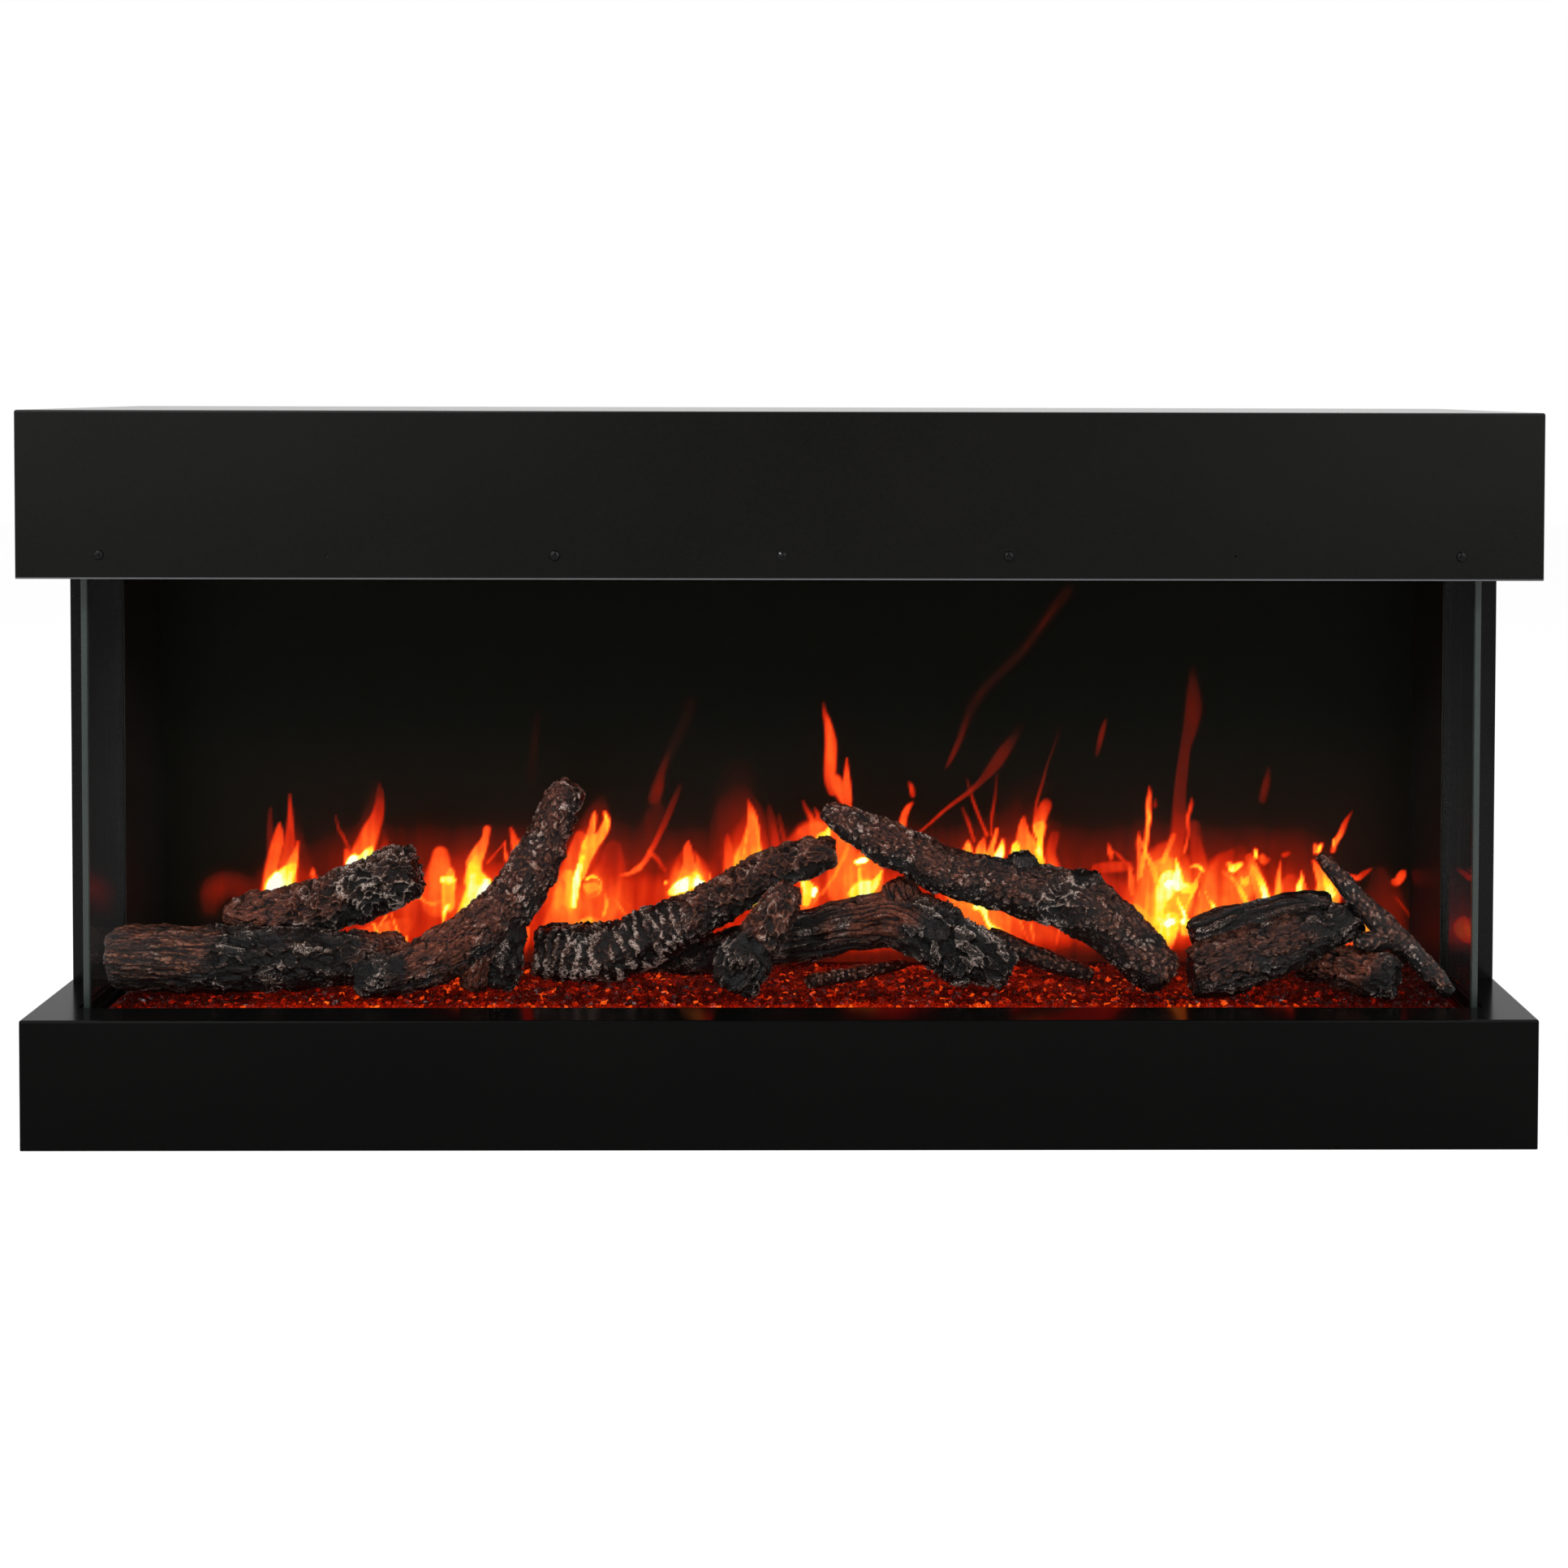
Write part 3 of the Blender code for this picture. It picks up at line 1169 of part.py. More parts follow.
def blower_drive(heater):
    """The rubber-mounted bearing on the left plate and the shaded-pole motor on the right one."""
    end = IMPELLER_HALF_LENGTH + SCROLL_GAP
    place = {"setback": BLOWER_SETBACK, "z": blower_height()}
    ring = tube(BEARING_RADIUS, IMPELLER_SHAFT_RADIUS + SHAFT_CLEARANCE, BEARING_LENGTH, "X")
    smooth(add("blower_bearing", moved(ring, x=-BEARING_LENGTH / 2), bearing_rubber(), heater,
               x=-end - FIT - SHEET / 2, **place))
    start = end + 2 * FIT + SHEET
    stack = moved(block(MOTOR_WIDTH, MOTOR_STACK, MOTOR_STACK), x=MOTOR_WIDTH / 2,
                  y=-MOTOR_STACK / 2, z=-MOTOR_STACK / 2)
    piece = add("blower_motor", bevelled(stack, MOTOR_ARRIS), motor_steel(), heater, x=start, **place)
    coil = moved(rod(MOTOR_COIL_RADIUS, MOTOR_COIL_LENGTH, "X", 16),
                 x=(MOTOR_WIDTH - MOTOR_COIL_LENGTH) / 2,
                 y=MOTOR_STACK / 2 + MOTOR_COIL_RADIUS / 2)
    combine(piece, guide("motor_coil", coil, heater, x=start, **place), "UNION")
    bore = moved(rod(IMPELLER_SHAFT_RADIUS + SHAFT_CLEARANCE, MOTOR_WIDTH, "X", 12), x=-OVERRUN)
    return cut(piece, bore, x=start, **place)


def heating_element(heater):
    """A folded resistance ribbon that fills the duct above the outlet."""
    half = IMPELLER_HALF_LENGTH + SCROLL_GAP - HEATER_MARGIN
    front = OUTLET_FRONT + HEATER_MARGIN
    back = OUTLET_BACK - HEATER_MARGIN
    folds = []
    for step in range(HEATER_FOLDS + 1):
        folds.append((half * (2 * step / HEATER_FOLDS - 1), front if step % 2 else back))
    ribbon = extrusion(sheet_outline(folds, HEATER_RIBBON), "Z", HEATER_HEIGHT)
    return add("heating_element", ribbon, resistance_alloy(), heater,
               z=SOFFIT_TOP + HEATER_RISE + HEATER_HEIGHT / 2)


def thermal_cutout(heater):
    """A small round cut-out on the back of the duct."""
    button = rod(CUTOUT_RADIUS, CUTOUT_LENGTH, "Y", 16)
    height = SOFFIT_TOP + FIT + TONGUE_UPRIGHT / 2
    return smooth(add("thermal_cutout", button, black_nylon(), heater, x=IMPELLER_HALF_LENGTH / 2,
                      setback=OUTLET_BACK + SHEET + FIT + CUTOUT_LENGTH, z=height))


def outlet_grille(heater):
    """A slotted plate over the outlet in the soffit."""
    depth = OUTLET_BACK - OUTLET_FRONT - 2 * FIT
    width = 2 * (IMPELLER_HALF_LENGTH + SCROLL_GAP - FIT)
    piece = add("outlet_grille", block(width, depth, GRILLE_THICKNESS), powder_coat(), heater,
                setback=OUTLET_FRONT + FIT, z=SOFFIT_TOP + FIT)
    pitch = (width - GRILLE_BAR) / GRILLE_SLOTS
    slots = []
    for index in range(GRILLE_SLOTS):
        slot = block(pitch - GRILLE_BAR, depth - 4 * GRILLE_LAP, 2 * OVERRUN)
        slots.append(moved(slot, x=(index - (GRILLE_SLOTS - 1) / 2) * pitch))
    return cut(piece, gathered(slots), setback=OUTLET_FRONT + FIT + 2 * GRILLE_LAP,
               z=SOFFIT_TOP - OVERRUN / 2)


# Electrics


def control_board(hood):
    """The circuit board with its relays and filter parts, on the four posts that are riveted in it."""
    low = SOFFIT_TOP + FIT
    place = {"x": BOARD_X, "setback": BOARD_SETBACK + BOARD_DEPTH / 2}
    bottom = low + STANDOFF_HEIGHT
    plate = moved(block(BOARD_WIDTH, BOARD_DEPTH, BOARD_THICKNESS), y=-BOARD_DEPTH / 2)
    piece = add("control_board", plate, board_laminate(), hood, z=bottom, **place)
    posts = []
    for x_side in (-1.0, 1.0):
        for y_side in (-1.0, 1.0):
            post = rod(STANDOFF_RADIUS, STANDOFF_HEIGHT + BOARD_THICKNESS / 2, "Z", 8)
            posts.append(moved(post, x=x_side * (BOARD_WIDTH / 2 - STANDOFF_INSET),
                               y=y_side * (BOARD_DEPTH / 2 - STANDOFF_INSET)))
    combine(piece, guide("board_posts", gathered(posts), hood, z=low, **place), "UNION")
    parts = []
    for x, y, wide, deep in RELAY_SHARES:
        part = block(BOARD_WIDTH * wide, BOARD_DEPTH * deep, RELAY_HEIGHT)
        parts.append(moved(part, x=BOARD_WIDTH * x, y=BOARD_DEPTH * y))
    relays = guide("board_parts", gathered(parts), hood, z=bottom + BOARD_THICKNESS / 2, **place)
    return combine(piece, relays, "UNION")


def power_supply(hood):
    """The closed metal case of the lamp supply."""
    case = bevelled(block(SUPPLY_WIDTH, SUPPLY_DEPTH, SUPPLY_HEIGHT), SUPPLY_ARRIS)
    return add("power_supply", case, aluminium_sheet(), hood, x=SUPPLY_X, setback=BOARD_SETBACK,
               z=SOFFIT_TOP + FIT)


def supply_entry(cabinet):
    """The gland in the back cover and the terminal box behind it."""
    box = bevelled(block(TERMINAL_WIDTH, TERMINAL_DEPTH, TERMINAL_HEIGHT), SUPPLY_ARRIS)
    inner_face = DEPTH - SHEET - GLAND_FLANGE - FIT
    add("terminal_box", box, black_nylon(), cabinet, x=GLAND_X, setback=inner_face - FIT - TERMINAL_DEPTH,
        z=PAN_TOP + FIT)
    inside, outside = DEPTH - inner_face, GLAND_RIM
    rim = GLAND_RADIUS + GLAND_FLANGE
    profile = [
        (GLAND_BORE, -outside), (rim, -outside), (rim, -FIT),
        (GLAND_RADIUS, -FIT), (GLAND_RADIUS, inside), (GLAND_BORE, inside), (GLAND_BORE, -outside),
    ]
    smooth(add("supply_gland", lathed(profile, "Y", 20), black_nylon(), cabinet, x=GLAND_X,
               setback=DEPTH, z=GLAND_RISE))


def rocker_half_length():
    """Half the length of the rocker inside its body."""
    return SWITCH_LENGTH / 2 - SWITCH_WALL - ROCKER_CLEARANCE


def power_switch(hood):
    """The rocker switch in the soffit: its body, and the rocker that tips on a pin in it."""
    place = {"x": SWITCH_X, "setback": SWITCH_SETBACK}
    top = SOFFIT_BOTTOM - FIT
    rim = moved(block(SWITCH_LENGTH, SWITCH_DEPTH, SWITCH_RIM), y=-SWITCH_DEPTH / 2, z=-SWITCH_RIM)
    body = add("switch_body", rim, black_nylon(), hood, z=top, **place)
    depth = SWITCH_DEPTH - 2 * SWITCH_RIM
    barrel = moved(block(SWITCH_LENGTH - 2 * SWITCH_RIM, depth, SWITCH_BODY_HEIGHT + SWITCH_RIM),
                   y=-depth / 2, z=-SWITCH_RIM / 2)
    combine(body, guide("switch_barrel", barrel, hood, z=top, **place), "UNION")
    well_depth = SWITCH_DEPTH - 2 * SWITCH_WALL
    well = moved(block(SWITCH_LENGTH - 2 * SWITCH_WALL, well_depth, SWITCH_BODY_HEIGHT / 2 + OVERRUN),
                 y=-well_depth / 2, z=-OVERRUN)
    cut(body, well, z=top, **place)
    half = rocker_half_length()
    crown = half * math.tan(ROCKER_TILT)
    outline = [
        (-half, -ROCKER_RISE - crown), (0.0, -ROCKER_RISE), (half, -ROCKER_RISE - crown),
        (half, ROCKER_THICKNESS - ROCKER_RISE), (-half, ROCKER_THICKNESS - ROCKER_RISE),
    ]
    rocker = turned(extrusion(outline, "Y", well_depth - 2 * FIT), ROCKER_TILT, "Y")
    return add("power_rocker", rocker, black_nylon(), hood, z=top + ROCKER_PIVOT, **place)


# Fasteners


def domed_screw():
    """A button-head screw along Y: its head in front of the origin plane, its shank behind."""
    arc = [(SCREW_HEAD_RADIUS * math.cos(angle), SCREW_HEAD_HEIGHT * math.sin(angle))
           for angle in (math.radians(step) for step in (90.0, 60.0, 30.0, 0.0))]
    arc[0] = (0.0, SCREW_HEAD_HEIGHT)
    profile = arc + [(SCREW_SHANK_RADIUS, 0.0), (SCREW_SHANK_RADIUS, -SCREW_LENGTH), (0.0, -SCREW_LENGTH)]
    return lathed(profile, "Y", 12)


def fasteners(cabinet):
    """The fascia's four screws and the open rivet at its middle."""
    height = HOOD_BOTTOM + FASCIA_SCREW_HEIGHT
    for number, x in enumerate(fascia_places()[::2], start=1):
        smooth(add("fascia_screw_%d" % number, domed_screw(), black_oxide(), cabinet,
                   x=x, setback=-FIT, z=height))
    shank = RIVET_BORE_RADIUS
    profile = [
        (shank / 2, -SCREW_LENGTH / 2), (shank / 2, RIVET_HEAD_HEIGHT), (shank, RIVET_HEAD_HEIGHT),
        (RIVET_HEAD_RADIUS, RIVET_HEAD_HEIGHT / 3), (RIVET_HEAD_RADIUS, 0.0), (shank - FIT / 2, 0.0),
        (shank - FIT / 2, -SCREW_LENGTH / 2), (shank / 2, -SCREW_LENGTH / 2),
    ]
    smooth(add("fascia_rivet", lathed(profile, "Y", 16), black_oxide(), cabinet, setback=-FIT, z=height))


def build():
    """The whole fireplace."""
    clear_scene()
    root = group("fireplace")
    cabinet = group("cabinet", root)
    firebox = group("firebox", root)
    logs = group("log_set", root)
    drive = group("flame_drive", root)
    hood = group("hood", root)
    base_shell(cabinet)
    base_pan(cabinet)
    hood_shell(cabinet)
    soffit_plate(cabinet)
    for name, side in SIDE_SHARES.items():
        column(cabinet, name, side)
        recess_panel(cabinet, name, side)
    back_cover(cabinet)
    lower_glass_channel(firebox)
    upper_glass_channel(firebox)
    glass_box(firebox)
    chamber_floor(firebox)
    flame_screen(firebox)
    bed = [ember_tray(firebox), ember_media(firebox)]
    log_set(logs, bed)
    ember_light(firebox)
    flame_light(drive)
    flicker_rod(drive)
    flicker_drive(drive)
    flame_stencil(drive)
    blower_housing(hood)
    impeller(hood)
    blower_drive(hood)
    heating_element(hood)
    thermal_cutout(hood)
    outlet_grille(hood)
    control_board(hood)
    power_supply(hood)
    supply_entry(cabinet)
    power_switch(hood)
    fasteners(cabinet)


build()
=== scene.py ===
# %% [markdown]
# # A three-sided electric fireplace
# A black steel cabinet stands open at the front and at both sides, behind panes of clear glass.
# Inside lie cast resin logs on a bed of crushed glass that glows from below, and a smoked screen
# behind them shows a moving picture of flames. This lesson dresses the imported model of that
# fireplace: it keeps the sheet metal, gives every part a finish, and builds new logs, chips of
# glass, panes and flames on top of it.
#
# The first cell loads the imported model. Everything is in metres, with the front facing -Y.
# Blender's noise takes its seed from the clock unless it is given one, so it is given one here,
# and every run makes the same logs.

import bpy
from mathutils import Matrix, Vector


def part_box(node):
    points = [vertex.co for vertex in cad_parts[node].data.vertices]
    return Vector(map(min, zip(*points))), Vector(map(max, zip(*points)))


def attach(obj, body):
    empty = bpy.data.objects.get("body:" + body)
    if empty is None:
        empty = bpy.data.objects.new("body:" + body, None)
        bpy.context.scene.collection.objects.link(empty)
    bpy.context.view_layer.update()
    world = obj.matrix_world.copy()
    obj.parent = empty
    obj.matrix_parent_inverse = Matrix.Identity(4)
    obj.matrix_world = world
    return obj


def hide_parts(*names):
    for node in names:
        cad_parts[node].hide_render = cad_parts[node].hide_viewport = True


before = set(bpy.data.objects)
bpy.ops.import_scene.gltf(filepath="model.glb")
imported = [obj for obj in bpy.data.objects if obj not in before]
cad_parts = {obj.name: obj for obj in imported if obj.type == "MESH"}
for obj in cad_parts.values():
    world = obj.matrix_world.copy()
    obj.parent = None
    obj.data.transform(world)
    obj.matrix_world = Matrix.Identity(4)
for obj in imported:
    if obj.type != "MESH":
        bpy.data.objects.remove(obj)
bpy.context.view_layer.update()  # bodies, nodes, joints, record

import math
import random

import bmesh
import bpy
import numpy as np
from mathutils import Matrix, Vector, noise

MM = 0.001
SEED = 7
noise.seed_set(SEED)

# %% [markdown]
# ## Colours and nodes
# Colours are written the way a picture editor shows them, as sRGB hex values, and Blender wants
# linear light, so one function turns them round. A second function adds any shader node with its
# settings and its links, which keeps each material down to the few lines that say what it is.
# A link may name a socket, or a node, which then gives its first output.

# %% Small helpers for materials
def tone(hex_colour):
    """A linear RGBA colour from an sRGB hex value such as "1c1b1a"."""
    parts = [int(hex_colour[i:i + 2], 16) / 255 for i in (0, 2, 4)]
    linear = [c / 12.92 if c <= 0.04045 else ((c + 0.055) / 1.055) ** 2.4 for c in parts]
    return (*linear, 1.0)


def link(tree, node, links):
    """Links sockets or nodes to a node's inputs, each named by its socket."""
    for name, source in links.items():
        socket = source if isinstance(source, bpy.types.NodeSocket) else source.outputs[0]
        tree.links.new(socket, node.inputs[name])


def add(tree, kind, settings=None, links=None):
    """A shader node with its settings, colour stops and links, each named by its socket."""
    node = tree.nodes.new("ShaderNode" + kind)
    for name, value in (settings or {}).items():
        if name == "stops":
            ramp = node.color_ramp.elements
            for stop, (place, colour) in zip(ramp, (value[0], value[-1])):
                stop.position, stop.color = place, tone(colour)
            for place, colour in value[1:-1]:
                ramp.new(place).color = tone(colour)
        elif isinstance(name, str) and hasattr(node, name):
            setattr(node, name, value)
        else:
            node.inputs[name].default_value = value
    link(tree, node, links or {})
    return node


def new_finish(name, **sockets):
    """A material with a Principled shader whose plain values are set on its own sockets."""
    material = bpy.data.materials.new(name)
    material.use_nodes = True
    tree = material.node_tree
    shader = tree.nodes["Principled BSDF"]
    for socket, value in sockets.items():
        shader.inputs[socket.replace("_", " ")].default_value = value
    where = add(tree, "TexCoord").outputs["Object"]
    return material, tree, shader, where


def mesh_piece(name, shape, *finishes):
    """A mesh object at the origin made from a bmesh, with its finishes in order."""
    mesh = bpy.data.meshes.new(name)
    shape.to_mesh(mesh)
    shape.free()
    piece = bpy.data.objects.new(name, mesh)
    bpy.context.collection.objects.link(piece)
    for finish in finishes:
        mesh.materials.append(finish)
    return piece


# %% [markdown]
# ## Camera, floor and light
# The photograph was taken straight on from about two metres, a little above the top of the
# cabinet, so the lens looks almost level and its picture is shifted up to keep the verticals
# parallel. The camera repeats that. The floor and the world are white to the eye and in
# reflections, while the light that they give is kept plain, so the black paint stays black.

# %% Camera
CAMERA_PLACE = Vector((0.0451, -2.1901, 0.64))
PITCH, YAW, ROLL = math.radians(1.721), math.radians(0.628), math.radians(0.132)

ahead = Vector((math.sin(YAW) * math.cos(PITCH), math.cos(YAW) * math.cos(PITCH),
                -math.sin(PITCH)))
level_right = Vector((math.cos(YAW), -math.sin(YAW), 0.0))
level_up = level_right.cross(ahead)
right = math.cos(ROLL) * level_right + math.sin(ROLL) * level_up
up = math.cos(ROLL) * level_up - math.sin(ROLL) * level_right

lens = bpy.data.cameras.new("camera")
lens.lens, lens.sensor_width = 55.648, 36.0
lens.shift_x, lens.shift_y = -0.0505, -0.208
camera = bpy.data.objects.new("camera", lens)
bpy.context.collection.objects.link(camera)
turn = Matrix((right, up, -ahead)).transposed().to_4x4()
camera.matrix_world = Matrix.Translation(CAMERA_PLACE) @ turn
bpy.context.scene.camera = camera
print("camera at", tuple(round(c, 3) for c in CAMERA_PLACE), "lens", lens.lens)

# %% [markdown]
# The floor is white paper. The eye sees mostly its even glow, with a share of the real, shaded
# paper left in, so the cabinet's shadow stays on it.

# %% Floor
FLOOR_GLOW = 1.14
FLOOR_SHADE_SHARE = 0.22
FLOOR_HALF = 9.0
FLOOR_DROP = 0.4 * MM

floor_paper, tree, shader, where = new_finish("white_studio_paper", Roughness=0.9)
fibre = add(tree, "TexNoise", {"Scale": 400.0}, {"Vector": where})
paper = add(tree, "ValToRGB", {"stops": [(0.3, "f2f2f2"), (0.7, "f6f6f6")]}, {"Fac": fibre})
link(tree, shader, {"Base Color": paper})
glow = add(tree, "Emission", {"Color": (1, 1, 1, 1), "Strength": FLOOR_GLOW})
path = add(tree, "LightPath").outputs
seen = add(tree, "Math", {"operation": "MAXIMUM"},
           {0: path["Is Camera Ray"], 1: path["Is Transmission Ray"]})
share = add(tree, "Math", {"operation": "MULTIPLY", 1: 1 - FLOOR_SHADE_SHARE}, {0: seen})
mixed = add(tree, "MixShader", {}, {0: share, 1: shader, 2: glow})
link(tree, tree.nodes["Material Output"], {"Surface": mixed})

shape = bmesh.new()
bmesh.ops.create_grid(shape, x_segments=1, y_segments=1, size=FLOOR_HALF)
bmesh.ops.translate(shape, verts=shape.verts, vec=(0, 0, -FLOOR_DROP))
floor = mesh_piece("studio_floor", shape, floor_paper)
print("floor", 2 * FLOOR_HALF, "m wide")

# %% [markdown]
# The world gives a plain soft light. Looked at directly or through glass it is white. Seen in a
# mirror, the backdrop behind the cabinet is white, and the room behind the camera is dim, more so
# in the middle than at the sides.

# %% World
AMBIENT = 0.42
BACKDROP_MIRRORED = 0.95
ROOM_MIDDLE, ROOM_SIDES = 0.36, 1.4

world = bpy.data.worlds.new("studio")
bpy.context.scene.world = world
world.use_nodes = True
tree = world.node_tree
tree.nodes.clear()
soft = add(tree, "Background", {"Color": (1, 1, 1, 1), "Strength": AMBIENT})
way = add(tree, "SeparateXYZ", {}, {0: add(tree, "TexCoord").outputs["Generated"]}).outputs
sideways = add(tree, "Math", {"operation": "ABSOLUTE"}, {0: way["X"]})
room = add(tree, "MapRange", {"From Min": 0.02, "From Max": 0.3,
                              "To Min": ROOM_MIDDLE, "To Max": ROOM_SIDES}, {"Value": sideways})
behind = add(tree, "MapRange", {"From Min": -0.1, "From Max": 0.4}, {"Value": way["Y"]})
mirrored = add(tree, "Mix", {"B": BACKDROP_MIRRORED}, {"Factor": behind, "A": room})
in_mirror = add(tree, "LightPath").outputs["Is Glossy Ray"]
brightness = add(tree, "Mix", {"A": 1.0}, {"Factor": in_mirror, "B": mirrored})
white = add(tree, "Background", {"Color": (1, 1, 1, 1)}, {"Strength": brightness})
path = add(tree, "LightPath").outputs
both = add(tree, "Math", {"operation": "MAXIMUM"},
           {0: path["Is Camera Ray"], 1: path["Is Glossy Ray"]})
seen = add(tree, "Math", {"operation": "MAXIMUM"}, {0: both, 1: path["Is Transmission Ray"]})
mixed = add(tree, "MixShader", {}, {0: seen, 1: soft, 2: white})
add(tree, "OutputWorld", {}, {"Surface": mixed})
print("ambient light", AMBIENT)

# %% [markdown]
# Three large softboxes light the cabinet, and two small lamps put the glints on screws and bark.
# Each row is a place, a width in metres and a power in watts.

# %% Lamps
LAMPS = {
    "key_softbox": ((-1.9, -2.6, 2.5), 2.2, 30.0),
    "fill_softbox": ((2.3, -2.3, 1.9), 2.0, 20.0),
    "rear_softbox": ((0.4, 2.6, 2.6), 2.4, 26.0),
    "left_glint": ((-0.9, -2.0, 1.7), 0.16, 17.0),
    "right_glint": ((1.1, -1.9, 1.5), 0.14, 12.0),
}
AIM_HEIGHT = 0.3

for name, (place, size, watts) in LAMPS.items():
    light = bpy.data.lights.new(name, "AREA")
    light.energy, light.size = watts, size
    lamp = bpy.data.objects.new(name, light)
    bpy.context.collection.objects.link(lamp)
    aim = Vector((0.0, 0.0, AIM_HEIGHT)) - Vector(place)
    turn = aim.to_track_quat("-Z", "Y").to_matrix().to_4x4()
    lamp.matrix_world = Matrix.Translation(place) @ turn
bpy.context.scene.view_settings.view_transform = "Standard"
print(len(LAMPS), "soft lamps")

# %% [markdown]
# ## Finishes of the sheet metal and the hidden parts
# Most of the cabinet is folded sheet steel under a satin black powder coat. Powder melts into a
# skin with a faint orange peel about a millimetre across, so a soft bump and a little change in
# roughness carry it. The same few nodes, with other colours and sizes, make the zinc plating,
# the moulded nylon and the circuit boards, so one function makes them all. Real grains that are
# finer than half a millimetre are drawn at about that size, so that they still show.

# %% Skins for coated, plated and moulded parts
GRAIN_SHARE = 0.7


def skin(name, dark, light, grain_mm, bump_mm, rough, stretch=(1, 1, 1), **sockets):
    """A surface whose colour, roughness and bump follow one grain of a real size."""
    material, tree, shader, where = new_finish(name, **sockets)
    way = add(tree, "Mapping", {"Scale": stretch}, {"Vector": where})
    grain = add(tree, "TexNoise", {"Scale": 1000 / grain_mm, "Detail": 2.0}, {"Vector": way})
    patch = add(tree, "TexNoise", {"Scale": 9.0, "Detail": 3.0}, {"Vector": where})
    fine = add(tree, "Math", {"operation": "MULTIPLY", 1: GRAIN_SHARE}, {0: grain})
    both = add(tree, "Math", {"operation": "MULTIPLY_ADD", 1: 1 - GRAIN_SHARE},
               {0: patch, 2: fine})
    colour = add(tree, "ValToRGB", {"stops": [(0.35, dark), (0.65, light)]}, {"Fac": both})
    matt = add(tree, "MapRange", {"To Min": rough[0], "To Max": rough[1]}, {"Value": both})
    bump = add(tree, "Bump", {"Strength": 0.5, "Distance": bump_mm * MM}, {"Height": grain})
    link(tree, shader, {"Base Color": colour, "Roughness": matt, "Normal": bump})
    return material


SKINS = {
    # Polyester powder coat, baked: satin black with a fine orange peel.
    "black_powder_coat": skin("satin_black_powder_coat", "090909", "0f0e0e", 1.1, 0.003,
                              (0.14, 0.2), Specular_IOR_Level=0.12),
    # Electroplated zinc on folded sheet: bluish grey with a rolled grain along its length.
    "zinc_plated_steel": skin("zinc_plated_sheet", "8f9498", "b4b8ba", 1.5, 0.01, (0.28, 0.42),
                              stretch=(0.12, 1, 1), Metallic=1.0),
    # Hot black oxide on steel: nearly black, slightly brown and oily.
    "black_oxide_steel": skin("black_oxide_steel", "141312", "24211f", 0.9, 0.01, (0.3, 0.42),
                              Metallic=0.7),
    # Cast acrylic with smoke dye: dark and smooth, with almost no shine of its own.
    "smoked_acrylic": skin("smoked_acrylic", "0b0b09", "0f0f0c", 2.0, 0.004, (0.2, 0.3),
                           Specular_IOR_Level=0.03),
    # Glass and epoxy board under green solder mask, with the weave just felt.
    "board_laminate": skin("glass_epoxy_laminate", "12401f", "1c5a2c", 0.8, 0.01, (0.35, 0.45)),
    # White solder mask, which throws the lamps' light back.
    "white_lamp_board": skin("white_solder_mask", "d8d8d2", "ecece6", 0.9, 0.01, (0.3, 0.4)),
    # Injection-moulded nylon with a spark-eroded grain: a dull, even black.
    "black_nylon": skin("moulded_black_nylon", "121212", "1d1d1c", 0.6, 0.02, (0.42, 0.55)),
    # Moulded rubber: the dullest black of all.
    "bearing_rubber": skin("moulded_black_rubber", "131211", "1c1b1a", 0.7, 0.03, (0.7, 0.85)),
    # Cold-rolled aluminium: bright, with a grain along the roll.
    "aluminium_sheet": skin("rolled_aluminium", "b9bbbd", "d2d4d5", 1.2, 0.008, (0.22, 0.34),
                            stretch=(0.1, 1, 1), Metallic=1.0),
    # Resistance alloy that has been red hot: a brownish grey oxide.
    "resistance_alloy": skin("heating_resistance_alloy", "4d4844", "6b645d", 0.8, 0.01,
                             (0.4, 0.5), Metallic=1.0),
    # Bright turned and pressed steel of the motors.
    "motor_steel": skin("bright_motor_steel", "8a8b8c", "a8a9aa", 1.0, 0.01, (0.3, 0.42),
                        Metallic=1.0),
    # Red acrylic tray, which colours the lamplight that passes through it.
    "red_acrylic": skin("red_acrylic", "3a0703", "5c0d05", 2.0, 0.01, (0.2, 0.3)),
}
# Stove enamel on the chamber floor, fired smooth: it mirrors the flames at a low angle.
FLOOR_ENAMEL = skin("black_stove_enamel", "0a0a0a", "100f0f", 1.6, 0.004, (0.06, 0.1),
                    Specular_IOR_Level=0.5)
# The base takes a second coat of the same powder and comes out deeper and a little glossier.
BASE_COAT = skin("double_black_powder_coat", "060606", "090908", 1.1, 0.003, (0.15, 0.2),
                 Specular_IOR_Level=0.05)
# Screws blackened and waxed, darker than the panel that they hold.
SCREW_BLACK = skin("waxed_black_screw", "020202", "050505", 0.6, 0.01, (0.08, 0.12),
                   Specular_IOR_Level=0.16)
# The recess panels are a slightly brownish black, duller than the rest of the coat.
RECESS_COAT = skin("brownish_black_powder_coat", "100e0a", "15120d", 1.1, 0.003, (0.4, 0.5),
                   Specular_IOR_Level=0.1)
# Painted highlight: the hood's lowest fold is painted a lighter grey, in place of the light
# that its round catches from the floor.
HOOD_COAT = skin("powder_coat_with_painted_fold_highlight", "0b0b0a", "121110", 1.1, 0.003, (0.14, 0.2),
                 Specular_IOR_Level=0.12)
print(len(SKINS) + 5, "skins")

# %% The painted highlight on the hood's lowest fold
FOLD_LOW, FOLD_HIGH = 0.4 * MM, 1.7 * MM

